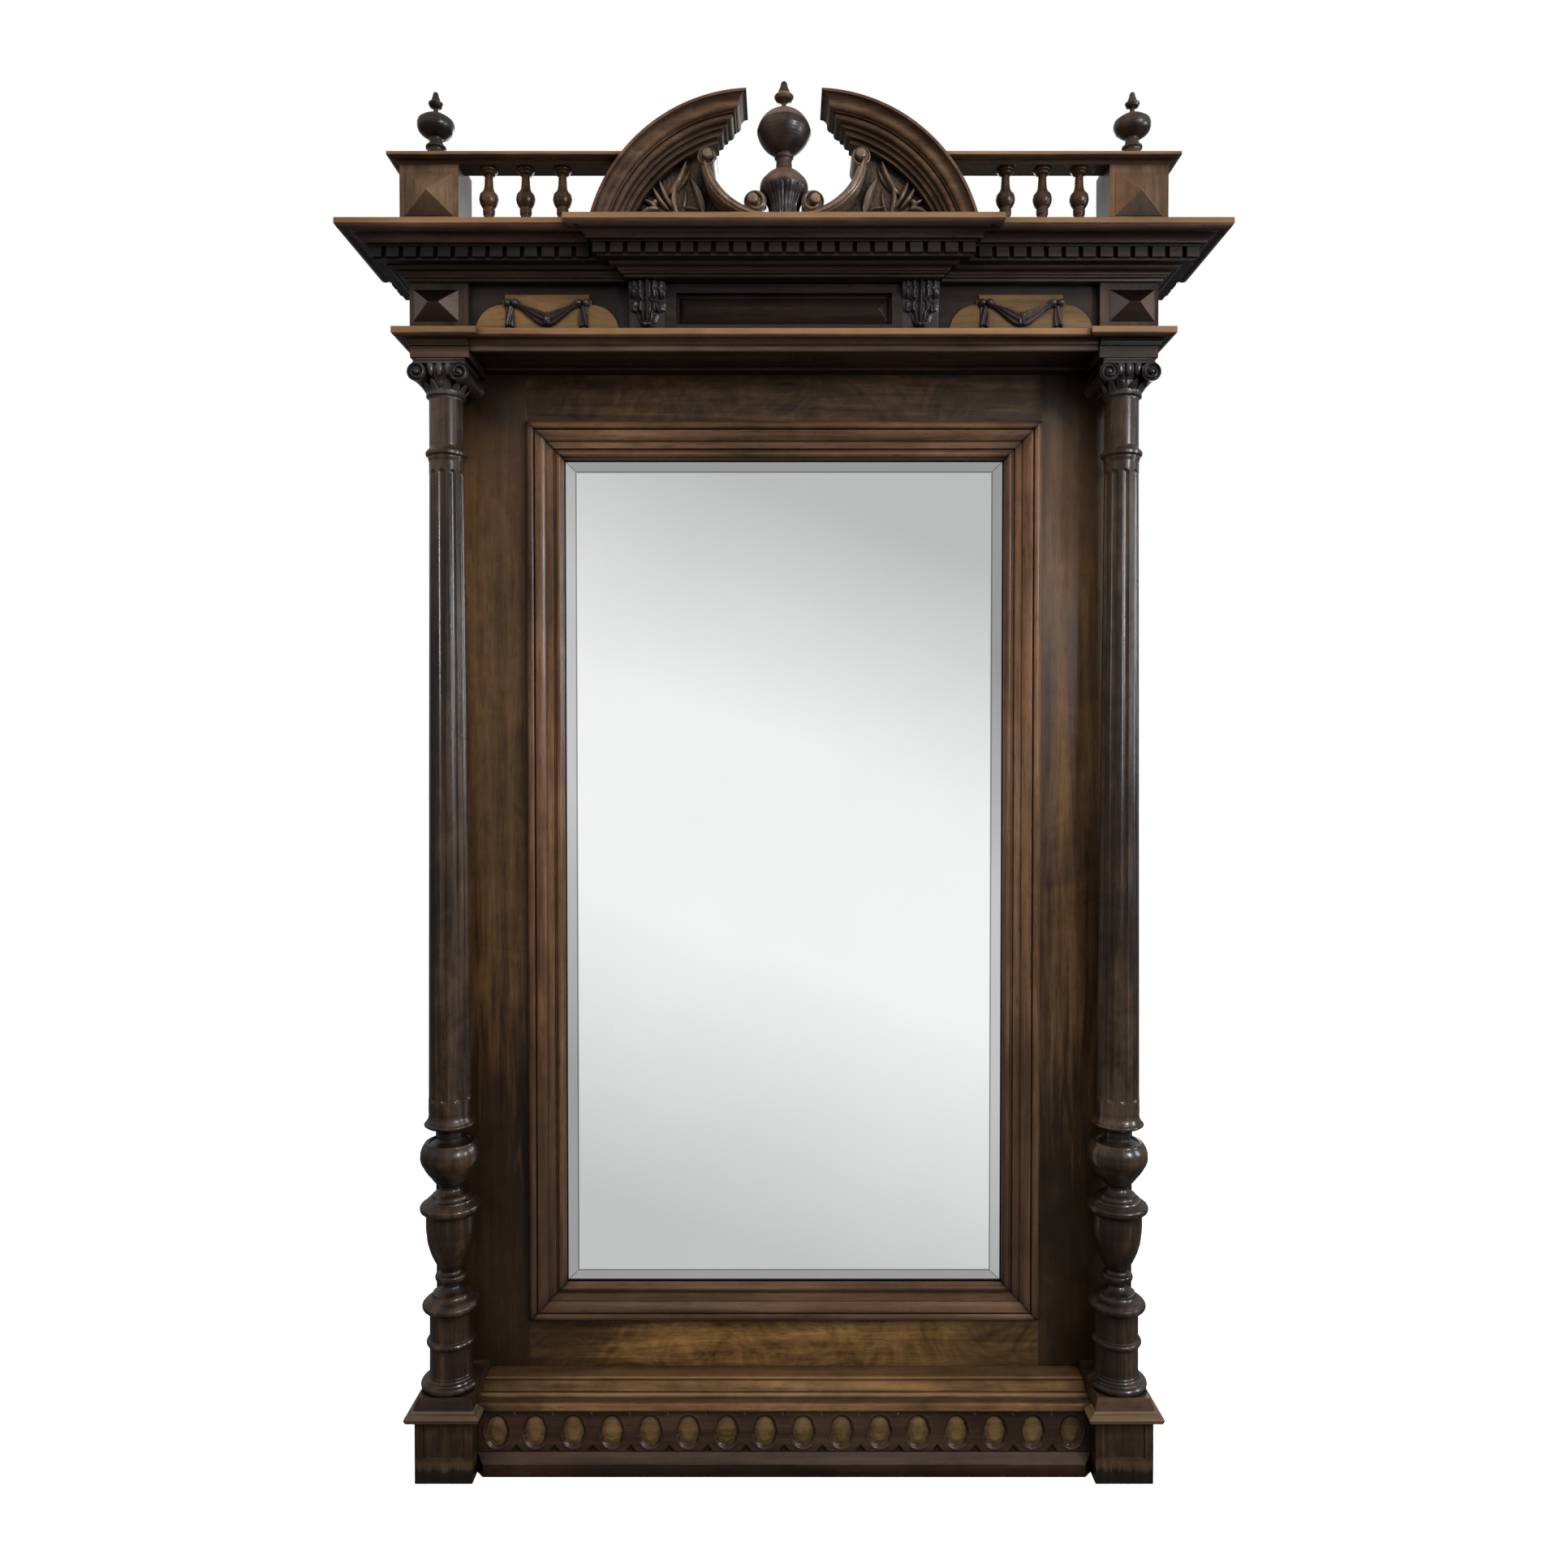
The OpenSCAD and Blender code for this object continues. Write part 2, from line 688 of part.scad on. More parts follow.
frieze_middle = frieze_foot + frieze_height / 2;
boss_shift = 4;

module frieze_bosses() color(walnut_dark) from_wall() both_sides()
  translate([column_x + boss_shift, 0, frieze_middle + 2])
    boss(67, 46.5, 16, 15, frieze_front);

plaque_x = (block_inner + break_half_width) / 2 + 4;
plaque_margin = 12.5;
plaque_half = (block_inner - break_half_width) / 2 - plaque_margin;
plaque_shoulder = 40;
plaque_flat_half = 62;
plaque_height = 57;
plaque_rise = 3.5;
plaque_face = frieze_ground + plaque_rise;

module plaque_outline() {
  intersection() {
    union() {
      for (way = [-1, 1]) {
        translate([way * (plaque_half - plaque_shoulder), 2])
          circle(r = plaque_shoulder, $fn = round_fn);
      }
      translate([-plaque_half + plaque_shoulder, 0])
        square([2 * (plaque_half - plaque_shoulder), plaque_shoulder + 9]);
      translate([-plaque_flat_half, 0]) square([2 * plaque_flat_half, plaque_height]);
    }
    translate([-plaque_half, 0]) square([2 * plaque_half, plaque_height]);
  }
}

module frieze_plaques() color(walnut_light) from_wall() both_sides()
  translate([plaque_x, 0, frieze_foot]) run_y(frieze_ground, plaque_face) plaque_outline();

knob_half = 52;
knob_height = 42;
swag_drop = 30;

// Cloth swag between two knobs, with a hanging tail outside each.
module swag() {
  span = knob_half - 6;
  big_radius = (span * span + swag_drop * swag_drop) / (2 * swag_drop);
  for (way = [-1, 1]) {
    for (side = [-1, 1]) {
      translate([way * knob_half + side * 5.6, 0, knob_height]) peg_y(5.5, 0, 9);
    }
    translate([way * (knob_half + 3), 0, 0]) run_y(0, 6)
      polygon([[-4, 10], [4.5, 9], [3.5, knob_height], [-3.5, knob_height]]);
  }
  run_y(0, 7) difference() {
    intersection() {
      translate([0, knob_height + 1 - swag_drop - 6 + big_radius])
        circle(r = big_radius, $fn = round_fn);
      translate([-span - 2, 0]) square([2 * span + 4, knob_height + 1]);
    }
    translate([0, knob_height + 9 - swag_drop - 6 + big_radius + 8])
      circle(r = big_radius + 5, $fn = round_fn);
  }
  translate([0, 0, knob_height - swag_drop]) peg_y(6.5, 0, 10);
}

module swag_left() color(walnut_dark) from_wall()
  translate([-plaque_x, plaque_face, frieze_foot]) swag();
module swag_right() color(walnut_dark) from_wall()
  translate([plaque_x, plaque_face, frieze_foot]) swag();

bracket_inner = 174;
bracket_width = 54;
bracket_rise = 23;

// Side view of a carved bracket: [depth in front of the frieze, height].
function bracket_section() = concat([[0, 0]], profile([
  [5, 0], [9, 1, -2], [12, 6, 6], [15, 16], [9, 18, -6], [10, 38, -2],
  [19, 54, 2], [bracket_rise, 64], [bracket_rise, frieze_height - 0.5]]),
  [[0, frieze_height - 0.5]]);

module bracket() difference() {
  run_x(bracket_inner, bracket_inner + bracket_width)
    polygon([for (p = bracket_section()) [frieze_ground + p[0], frieze_foot + p[1]]]);
  for (i = [0.5 : 1 : 4.5]) {
    translate([bracket_inner + i * bracket_width / 5, frieze_ground + bracket_rise + 3,
      frieze_foot + 18]) rotate([10, 0, 0]) cylinder(r = 5, h = 60, $fn = 48);
  }
}

module bracket_left() color(walnut_dark) from_wall() mirror([1, 0, 0]) bracket();
module bracket_right() color(walnut_dark) from_wall() bracket();

panel_rise = 10;
panel_stile = 15;
panel_member = 11;

module centre_panel_frame() color(walnut) from_wall() difference() {
  block(-bracket_inner, bracket_inner, frieze_ground, frieze_ground + panel_rise, frieze_foot,
    bed_foot - 1);
  block(panel_stile - bracket_inner, bracket_inner - panel_stile, frieze_ground - through,
    frieze_ground + panel_rise + through, frieze_foot + panel_member,
    bed_foot - panel_member - 3);
}

field_gap = 4;

module centre_field() color(walnut_dark) from_wall() {
  field_half = bracket_inner - panel_stile - field_gap;
  field_foot = frieze_foot + panel_member + field_gap;
  field_top = bed_foot - panel_member - 3 - field_gap;
  field_height = field_top - field_foot;
  translate([0, 0, (field_foot + field_top) / 2])
    boss(2 * field_half, field_height, 11, 2 * field_half - 30, frieze_ground);
}

// ---- Cornice -------------------------------------------------------------------------

break_front = frieze_front + break_depth;

// A layer of the cornice: the main block and the break in the middle.
module cornice_layer(points) {
  moulded_block(points, -block_outer, block_outer, frame_thickness, frieze_front, 1, 1);
  moulded_block(points, -break_half_width, break_half_width, frame_thickness, break_front, 1, 1);
}

function bed_section() = profile([
  [4.4, bed_foot], [5.4, bed_foot + 3.5], [9, bed_foot + 4], [10, bed_foot + 6.5],
  [12, bed_foot + 7, -2], [18, bed_foot + 11, 1.6], [24.6, bed_foot + 14.6],
  [24.6, dentil_foot]]);

module bed_board() color(walnut) from_wall() cornice_layer(bed_section());

dentil_nose = 44;
dentil_ground = 36;
dentil_band = 4;
course_back = frieze_front - 20;
course_side = block_outer - 20;

function course_section() = [
  [dentil_ground + 3, dentil_foot], [dentil_ground + 3, dentil_foot + dentil_band],
  [dentil_ground, dentil_foot + dentil_band], [dentil_ground, crown_foot - 2.5],
  [dentil_nose + 2, crown_foot - 2.5], [dentil_nose + 2, crown_foot]];

dentil_pitch = dentil_width + dentil_gap;
dentil_top = crown_foot - 2.5;
dentil_low = dentil_foot + dentil_band - 0.5;

// Dentils along x, spread evenly between x0 and x1.
module dentil_row(x0, x1, front) {
  count = round((x1 - x0 + dentil_gap) / dentil_pitch);
  step = (x1 - x0 - dentil_width) / (count - 1);
  for (i = [0 : count - 1]) {
    block(x0 + i * step, x0 + i * step + dentil_width, front + dentil_ground - 1,
      front + dentil_nose, dentil_low, dentil_top + 0.5);
  }
}

// Dentils along the return at the right end.
module dentil_return() {
  y0 = frame_thickness + dentil_gap;
  y1 = frieze_front + dentil_nose - dentil_pitch;
  count = round((y1 - y0 + dentil_gap) / dentil_pitch);
  step = (y1 - y0 - dentil_width) / (count - 1);
  for (i = [0 : count - 1]) {
    block(block_outer + dentil_ground - 1, block_outer + dentil_nose, y0 + i * step,
      y0 + i * step + dentil_width, dentil_low, dentil_top + 0.5);
  }
}

module course_run() {
  cornice_layer(course_section());
  dentil_row(-break_half_width - dentil_nose, break_half_width + dentil_nose, break_front);
  both_sides() dentil_row(break_half_width + dentil_nose + dentil_gap,
    block_outer + dentil_nose, frieze_front);
  both_sides() dentil_return();
}

module dentil_course() color(walnut) from_wall() {
  far = overall_half_width + through;
  intersection() {
    course_run();
    block(-far, far, course_back, overall_depth, dentil_foot - through, crown_foot + through);
  }
  both_sides() intersection() {
    course_run();
    block(course_side, far, frame_thickness, course_back - joint_line,
      dentil_foot - through, crown_foot + through);
  }
}

crown_back = frieze_front + 8;
crown_side = block_outer + 8;
crown_centre_half = break_half_width + cornice_projection + 4;
finial_depth = 180;
finial_pin_radius = 8;
finial_pin_length = 14;
baluster_pin_radius = 3;
baluster_pin_length = 6;
gallery_depth = 174;
arch_x = 42;
baluster_first = column_x - 83.5;
baluster_last = arch_x + arch_radius + 36.5;
baluster_spaces = max(1, round((baluster_first - baluster_last) / baluster_pitch));

// Places of the balusters, spread evenly between the pedestal and the arch.
function baluster_places() = [for (i = [0 : baluster_spaces])
  baluster_first + (baluster_last - baluster_first) * i / baluster_spaces];

function crown_section() = let (nose = cornice_projection) profile([
  [52, crown_foot], [52, crown_foot + 1, -3.2], [66, crown_foot + 8, 3],
  [nose - 1, crown_foot + 13], [nose - 1, crown_foot + 14], [nose, crown_foot + 14.5],
  [nose, cornice_top - 1], [nose - 1, cornice_top]]);

// The crown moulding between two x values, in front of its back edge, with the holes for
// the pins of the balusters and of the centre finial.
module crown_run(x0, x1) difference() {
  intersection() {
    cornice_layer(crown_section());
    block(x0, x1, crown_back, overall_depth + through, crown_foot - through,
      cornice_top + through);
  }
  both_sides() for (x = baluster_places()) {
    translate([x, gallery_depth, cornice_top - baluster_pin_length - fit_gap])
      cylinder(r = baluster_pin_radius + fit_gap, h = baluster_pin_length + 2, $fn = 48);
  }
  translate([0, finial_depth, cornice_top - finial_pin_length - fit_gap])
    cylinder(r = finial_pin_radius + fit_gap, h = finial_pin_length + 2, $fn = 48);
}

module crown_centre() color(walnut) from_wall() crown_run(-crown_centre_half,
  crown_centre_half);

// Front run and return of the right end, mitred at the corner.
module crown_end() {
  far = overall_half_width + through;
  deep = crown_back + far - crown_side;
  intersection() {
    crown_run(crown_centre_half, far);
    translate([0, 0, crown_foot - through]) linear_extrude(crown_height + 2 * through)
      polygon([[crown_centre_half, crown_back], [crown_side, crown_back], [far, deep],
        [crown_centre_half, deep]]);
  }
  intersection() {
    cornice_layer(crown_section());
    translate([0, 0, crown_foot - through]) linear_extrude(crown_height + 2 * through)
      polygon([[crown_side, frame_thickness], [far, frame_thickness], [far, deep - joint_line],
        [crown_side, crown_back - joint_line]]);
  }
}

module crown_left() color(walnut) from_wall() mirror([1, 0, 0]) crown_end();
module crown_right() color(walnut) from_wall() crown_end();

// The board that closes the cornice.
module top_board() color(walnut_dark) from_wall()
  block(-crown_side, crown_side, frame_thickness, crown_back, crown_foot, cornice_top);

// ---- Gallery ---------------------------------------------------------------------------

pedestal_half = 42;
pedestal_x = column_x - 2;
pedestal_back = 120;
pedestal_front = 190;
rail_foot = cornice_top + gallery_height;
rail_height = 12;
rail_top = rail_foot + rail_height;
rail_back = 158;
rail_nose = 14;
side_pin_radius = 5;
side_pin_length = 20;
side_finial_depth = 155;

module pedestal() difference() {
  block(pedestal_x - pedestal_half, pedestal_x + pedestal_half, pedestal_back, pedestal_front,
    cornice_top, rail_foot);
  translate([pedestal_x, side_finial_depth, rail_top - side_pin_length - fit_gap])
    cylinder(r = side_pin_radius + fit_gap, h = side_pin_length, $fn = 48);
}

module pedestal_left() color(walnut) from_wall() mirror([1, 0, 0]) pedestal();
module pedestal_right() color(walnut) from_wall() pedestal();

module pedestal_bosses() color(walnut) from_wall() both_sides()
  translate([pedestal_x, 0, cornice_top + gallery_height / 2 + 2])
    boss(69, 62, 14, 0.5, pedestal_front);

arch_height = bed_foot;
arch_back = 139;
arch_front = 215;
arch_projection = 42;
arch_inner = arch_radius - arch_width;

function rail_section() = profile([
  [0, rail_foot], [1, rail_foot + 1, -0.8], [6, rail_foot + 4, 0.5],
  [rail_nose - 1, rail_foot + 6.4], [rail_nose, rail_foot + 6.8], [rail_nose, rail_top - 0.8],
  [rail_nose - 0.8, rail_top]]);

// The rail, deeper over the pedestal, cut to the arch at its inner end.
module gallery_rail() difference() {
  moulded_block(rail_section(), arch_x + arch_radius * 0.5, pedestal_x + pedestal_half,
    pedestal_back, pedestal_front, 0, 1);
  block(0, pedestal_x - pedestal_half, pedestal_back - through, rail_back, rail_foot - through,
    rail_top + through);
  translate([arch_x, 0, arch_height]) peg_y(arch_radius + fit_gap, 0, overall_depth);
  translate([pedestal_x, side_finial_depth, rail_foot - through])
    cylinder(r = side_pin_radius + fit_gap, h = rail_height + 2 * through, $fn = 48);
  for (x = baluster_places()) {
    translate([x, gallery_depth, rail_foot - through])
      cylinder(r = baluster_pin_radius + fit_gap, h = baluster_pin_length + fit_gap + through,
        $fn = 48);
  }
}

module gallery_rail_left() color(walnut) from_wall() mirror([1, 0, 0]) gallery_rail();
module gallery_rail_right() color(walnut) from_wall() gallery_rail();

// A baluster, heights measured from the cornice for the gallery height drawn here.
gallery_drawn = 88;
function baluster_steps() = [
  [9, 0], [9, 12], [6.4, 14], [6, 25.5], [7.4, 27.5, 0.8], [7.6, 32], [6.6, 34.2],
  [7, 35.5, 0.4], [11.4, 41], [12.5, 45, 0.6], [12, 48.5], [11.2, 49.5, 1.4], [6, 57, -0.8],
  [3.8, 67, -0.2], [3.5, 77, -1.2], [6.5, 81], [9.2, 82.2, 0.5], [9.8, 84], [9.8, 88]
];

module baluster() {
  stretch = gallery_height / gallery_drawn;
  turned(profile([for (s = baluster_steps())
    len(s) > 2 ? [s[0], s[1] * stretch, s[2]] : [s[0], s[1] * stretch]]));
  translate([0, 0, -baluster_pin_length]) cylinder(r = baluster_pin_radius,
    h = gallery_height + 2 * baluster_pin_length, $fn = 48);
}

module balusters() color(walnut) from_wall() both_sides()
  for (x = baluster_places()) {
    translate([x, gallery_depth, cornice_top]) baluster();
  }

// Foot, oblate ball with a seam over its middle, neck and acorn tip.
function side_finial_steps() = [
  [17, 0], [17, 5, -2], [13, 9], [12, 24, -0.6], [14.5, 28], [14.5, 30.5, -1.6], [10, 35],
  [9.4, 40], [9.8, 42.5, 0.4], [20.5, 49, 1.2], [26.2, 58], [26.4, 62, 0.3], [25.2, 66.5, 0.4],
  [24.6, 66.8, 0.8], [13, 75, -1.4], [3.4, 82.5], [3.2, 85.5, -0.4], [8.6, 88.5],
  [10.2, 91.5, 0.6], [9.6, 94, -1], [5.8, 100, -0.3], [4, 106, 0.6], [1.2, 109.8]
];

module side_finial() {
  turned(profile(side_finial_steps()));
  translate([0, 0, -side_pin_length])
    cylinder(r = side_pin_radius, h = side_pin_length + through, $fn = 48);
}

module side_finial_left() color(walnut) from_wall()
  translate([-pedestal_x, side_finial_depth, rail_top]) side_finial();
module side_finial_right() color(walnut) from_wall()
  translate([pedestal_x, side_finial_depth, rail_top]) side_finial();

// ---- Pediment ---------------------------------------------------------------------------

// Section of the arch: [radius, projection in front of its innermost member].
function arch_section() = let (r = arch_radius) profile([
  [r, arch_projection], [r - 4, arch_projection], [r - 4, arch_projection - 2, -2.4],
  [r - 13, arch_projection - 10, 2.2], [r - 21, arch_projection - 16],
  [r - 22.5, arch_projection - 17], [r - 22.5, arch_projection - 20, 2.2],
  [r - 30.5, arch_projection - 24], [r - 31, arch_projection - 28],
  [r - 35, arch_projection - 29], [r - 35.5, arch_projection - 34],
  [r - 41, arch_projection - 36], [r - 41.5, arch_projection - 42], [arch_inner, 0]]);

arch_rise = arch_front - arch_projection;
arch_end_x = 95;

// The mitred end of the arch: the same projections, now towards the middle, set a little
// higher so that no face of the end runs along a face of the arch.
end_lift = 1;
function arch_end() = [for (p = arch_section())
  let (x = arch_end_x - p[1])
  [x, arch_height + end_lift + sqrt(p[0] * p[0] - (x - arch_x) * (x - arch_x))]];

module arch() intersection() {
  translate([arch_x, 0, arch_height]) rotate([-90, 0, 0]) rotate_extrude($fn = 360)
    polygon(concat([[arch_inner, arch_back]], [[arch_radius, arch_back]],
      [for (p = arch_section()) [p[0], arch_rise + p[1]]]));
  run_y(arch_back - through, arch_front + through) polygon(concat(
    [[400, cornice_top], [400, cornice_top + 300], [53, cornice_top + 300]],
    arch_end(), [[arch_end_x, cornice_top]]));
}

module arch_left() color(walnut) from_wall() mirror([1, 0, 0]) arch();
module arch_right() color(walnut) from_wall() arch();

scroll_x = 28.9;
scroll_z = cornice_top + 99.6;
scroll_radius = 83.9;
scroll_band = 11;
scroll_back = 160;
scroll_front = 205;
volute_high = [109, cornice_top + 94.8];
volute_low = [40.5, cornice_top + 32.8];
volute_high_radius = 13.5;
volute_low_radius = 14;
volute_knob_radius = 8.5;
spandrel_back = 145;
spandrel_front = 165;
leaf_rise = 7;

module scroll_outline() {
  intersection() {
    difference() {
      translate([scroll_x, scroll_z]) circle(r = scroll_radius + scroll_band / 2,
        $fn = round_fn);
      translate([scroll_x, scroll_z]) circle(r = scroll_radius - scroll_band / 2,
        $fn = round_fn);
    }
    polygon([[scroll_x, scroll_z], [140, scroll_z - 8], [140, cornice_top], [40, cornice_top],
      [40, cornice_top + 20]]);
  }
  translate(volute_high) circle(r = volute_high_radius, $fn = round_fn);
  translate(volute_low) circle(r = volute_low_radius, $fn = round_fn);
}

module spandrel_outline() difference() {
  intersection() {
    translate([arch_x, arch_height]) circle(r = arch_inner - fit_gap, $fn = 360);
    translate([55, cornice_top]) square([arch_inner, arch_inner]);
  }
  translate([scroll_x, scroll_z]) circle(r = scroll_radius, $fn = round_fn);
}

// A pointed leaf: the overlap of two discs, its tip at the far end.
module leaf(x, z, turn, length, width) {
  radius = (length * length / 4 + width * width / 4) / width;
  translate([x, z]) rotate(turn) intersection() {
    translate([length / 2, radius - width / 2]) circle(r = radius, $fn = round_fn);
    translate([length / 2, width / 2 - radius]) circle(r = radius, $fn = round_fn);
  }
}

module spandrel() {
  run_y(spandrel_back, spandrel_front) spandrel_outline();
  run_y(scroll_back, scroll_front) intersection() {
    scroll_outline();
    translate([arch_x, arch_height]) circle(r = arch_inner - fit_gap, $fn = 360);
  }
  run_y(spandrel_front - through, spandrel_front + leaf_rise) intersection() {
    spandrel_outline();
    union() {
      leaf(148, cornice_top + 2, 15, 52, 15);
      leaf(145, cornice_top + 3, 45, 58, 15);
      leaf(140, cornice_top + 3, 68, 95, 18);
      leaf(132, cornice_top + 2, 92, 44, 16);
      leaf(126, cornice_top + 26, 108, 46, 13);
      leaf(112, cornice_top + 1, 150, 48, 12);
    }
  }
  for (v = [volute_high, volute_low]) {
    translate([v[0], 0, v[1]]) peg_y(volute_knob_radius, scroll_front - through,
      scroll_front + 3);
  }
}

module spandrel_left() color(walnut_dark) from_wall() mirror([1, 0, 0]) spandrel();
module spandrel_right() color(walnut_dark) from_wall() spandrel();

// Leafy cup, domed ring, neck, ball with a seam round its middle and acorn tip.
function centre_finial_steps() = [
  [18, 0], [18, 5, -1], [16.5, 9, -1], [21, 31, 1], [25, 43, 0.8], [31.5, 52], [34, 54, 0.4],
  [34.4, 60, 1.6], [28, 71.5, 1.4], [14, 82], [13, 84, -0.6], [11.5, 90], [11, 96, -0.3],
  [12, 99], [13.2, 100.5, 0.6], [13.2, 105], [13, 106, 4.6], [38.4, 136], [38.5, 139.5],
  [37.8, 140.2], [37.9, 141, 5], [12, 168, -1.6], [3.2, 177], [3.2, 178.5, -0.5],
  [11.5, 183.5], [13.5, 186.5, 0.8], [12.5, 190, -1.2], [7.5, 198, -0.4], [5, 205, 0.8],
  [1.5, 210.5]
];

module centre_finial() color(walnut) from_wall()
  translate([0, finial_depth, cornice_top]) {
    scale(finial_scale) turned(profile(centre_finial_steps()));
    translate([0, 0, -finial_pin_length]) cylinder(r = finial_pin_radius,
      h = finial_pin_length + through, $fn = 48);
  }

// ---- Hardware ------------------------------------------------------------------------------

module wall_plates() color(iron) from_wall() both_sides() difference() {
  block(plate_x - plate_width / 2, plate_x + plate_width / 2, 0, plate_thickness,
    plate_z - plate_height / 2, plate_z + plate_height / 2);
  translate([plate_x, 0, plate_z]) peg_y(hook_radius, -through, plate_thickness + through);
  side_screws(fit_gap);
}

module screws() color(iron) from_wall() both_sides() side_screws(0);

// ---- Assembly -------------------------------------------------------------------------------

stile_left();
stile_right();
top_rail();
bottom_rail();
head_rail();
moulding_left();
moulding_right();
moulding_top();
moulding_bottom();
mirror_glass();
backing_boards();
glazing_fillets();
plinth_left();
plinth_right();
plinth_cap_left();
plinth_cap_right();
column_base_left();
column_base_right();
column_shaft_left();
column_shaft_right();
capital_left();
capital_right();
skirting();
roundel_board();
base_ledge();
architrave_block_left();
architrave_block_right();
architrave();
frieze_board();
frieze_block_left();
frieze_block_right();
frieze_bosses();
frieze_plaques();
swag_left();
swag_right();
bracket_left();
bracket_right();
centre_panel_frame();
centre_field();
bed_board();
dentil_course();
crown_left();
crown_centre();
crown_right();
top_board();
pedestal_left();
pedestal_right();
pedestal_bosses();
gallery_rail_left();
gallery_rail_right();
balusters();
side_finial_left();
side_finial_right();
arch_left();
arch_right();
spandrel_left();
spandrel_right();
centre_finial();
wall_plates();
screws();
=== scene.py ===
"""Pier mirror in carved walnut: materials, carved ornament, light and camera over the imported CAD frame."""
import math

import bmesh
import bpy
import numpy as np
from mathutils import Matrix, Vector


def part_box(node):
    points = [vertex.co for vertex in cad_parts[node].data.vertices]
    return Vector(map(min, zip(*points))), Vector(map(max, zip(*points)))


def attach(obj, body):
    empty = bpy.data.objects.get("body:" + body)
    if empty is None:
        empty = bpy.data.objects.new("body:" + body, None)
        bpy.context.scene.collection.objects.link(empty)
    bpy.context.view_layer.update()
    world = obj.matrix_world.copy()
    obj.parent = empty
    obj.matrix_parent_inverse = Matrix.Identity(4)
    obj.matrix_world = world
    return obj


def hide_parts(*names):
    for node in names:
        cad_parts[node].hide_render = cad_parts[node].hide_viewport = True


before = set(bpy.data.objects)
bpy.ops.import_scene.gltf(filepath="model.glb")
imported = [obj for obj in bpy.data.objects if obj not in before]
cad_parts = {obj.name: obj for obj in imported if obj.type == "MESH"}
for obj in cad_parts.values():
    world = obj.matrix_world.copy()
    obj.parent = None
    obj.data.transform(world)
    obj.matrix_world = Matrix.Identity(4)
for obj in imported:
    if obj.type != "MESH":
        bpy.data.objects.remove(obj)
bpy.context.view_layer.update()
MM = 0.001
WALL_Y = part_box("stile_left")[1][1]


def at_wall(x, depth, z):
    """A point given in millimetres: across, in front of the wall, above the floor."""
    return Vector((x * MM, WALL_Y - depth * MM, z * MM))


def depth_of(y):
    """How far a place in the frame stands in front of the wall, in millimetres."""
    return (WALL_Y - y) / MM


def middle_of(node):
    """The middle of a node across and in front of the wall, in millimetres."""
    low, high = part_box(node)
    return (low[0] + high[0]) / 2 / MM, depth_of((low[1] + high[1]) / 2)


def new_object(name, data):
    """An object in the scene."""
    thing = bpy.data.objects.new(name, data)
    bpy.context.scene.collection.objects.link(thing)
    return thing


# ---- Node trees ----

# Places of the inputs and the output of a mix node that mixes colours.
MIX_FACTOR, MIX_A, MIX_B, MIX_RESULT = 0, 6, 7, 2


class Tree:
    """Short calls for building the node tree of a material or of the world."""

    def __init__(self, owner):
        owner.use_nodes = True
        self.tree = owner.node_tree
        self.shader = self.tree.nodes.get("Principled BSDF")

    def add(self, kind, **settings):
        node = self.tree.nodes.new(kind)
        for name, value in settings.items():
            setattr(node, name, value)
        return node

    def put(self, value, socket):
        """Links an output to the socket, or sets the socket to a plain value."""
        if isinstance(value, bpy.types.NodeSocket):
            self.tree.links.new(value, socket)
        else:
            socket.default_value = value

    def feed(self, node, **inputs):
        """Fills inputs by name, with an underscore for each space."""
        for name, value in inputs.items():
            self.put(value, node.inputs[name.replace("_", " ")])

    def object_place(self):
        return self.add("ShaderNodeTexCoord").outputs["Object"]

    def parts(self, vector):
        """Outputs X, Y and Z of a vector."""
        node = self.add("ShaderNodeSeparateXYZ")
        self.put(vector, node.inputs[0])
        return node.outputs

    def vector(self, operation, a, b, result="Vector"):
        node = self.add("ShaderNodeVectorMath", operation=operation)
        self.put(a, node.inputs[0])
        self.put(b, node.inputs[1])
        return node.outputs[result]

    def noise(self, vector, scale, detail=3.0, rough=0.55, distortion=0.0):
        node = self.add("ShaderNodeTexNoise")
        self.feed(node, Vector=vector, Scale=scale, Detail=detail, Roughness=rough, Distortion=distortion)
        return node.outputs["Fac"]

    def math(self, operation, a, b=0.0, clamp=False):
        node = self.add("ShaderNodeMath", operation=operation, use_clamp=clamp)
        self.put(a, node.inputs[0])
        self.put(b, node.inputs[1])
        return node.outputs[0]

    def plus(self, a, b, clamp=False):
        return self.math("ADD", a, b, clamp)

    def minus(self, a, b):
        return self.math("SUBTRACT", a, b)

    def times(self, a, b):
        return self.math("MULTIPLY", a, b)

    def size(self, a):
        return self.math("ABSOLUTE", a)

    def spread(self, value, low, high, to_low=0.0, to_high=1.0):
        """Carries the stretch from low to high over to another stretch, held at both ends."""
        node = self.add("ShaderNodeMapRange")
        self.feed(node, Value=value, From_Min=low, From_Max=high, To_Min=to_low, To_Max=to_high)
        return node.outputs[0]

    def ramp(self, value, stops):
        node = self.add("ShaderNodeValToRGB")
        line = node.color_ramp
        while len(line.elements) < len(stops):
            line.elements.new(0.5)
        for element, (place, colour) in zip(line.elements, stops):
            element.position = place
            element.color = (*colour, 1.0)
        self.put(value, node.inputs["Fac"])
        return node.outputs["Color"]

    def mix(self, factor, a, b, blend="MIX"):
        node = self.add("ShaderNodeMix", data_type="RGBA", blend_type=blend)
        for number, value in ((MIX_FACTOR, factor), (MIX_A, a), (MIX_B, b)):
            opaque = (*value, 1.0) if isinstance(value, tuple) else value
            self.put(opaque, node.inputs[number])
        return node.outputs[MIX_RESULT]

    def bump(self, **inputs):
        """Bends the surface's normal by a height."""
        node = self.add("ShaderNodeBump")
        self.feed(node, **inputs)
        self.feed(self.shader, Normal=node.outputs["Normal"])


def grey(value):
    return (value, value, value)


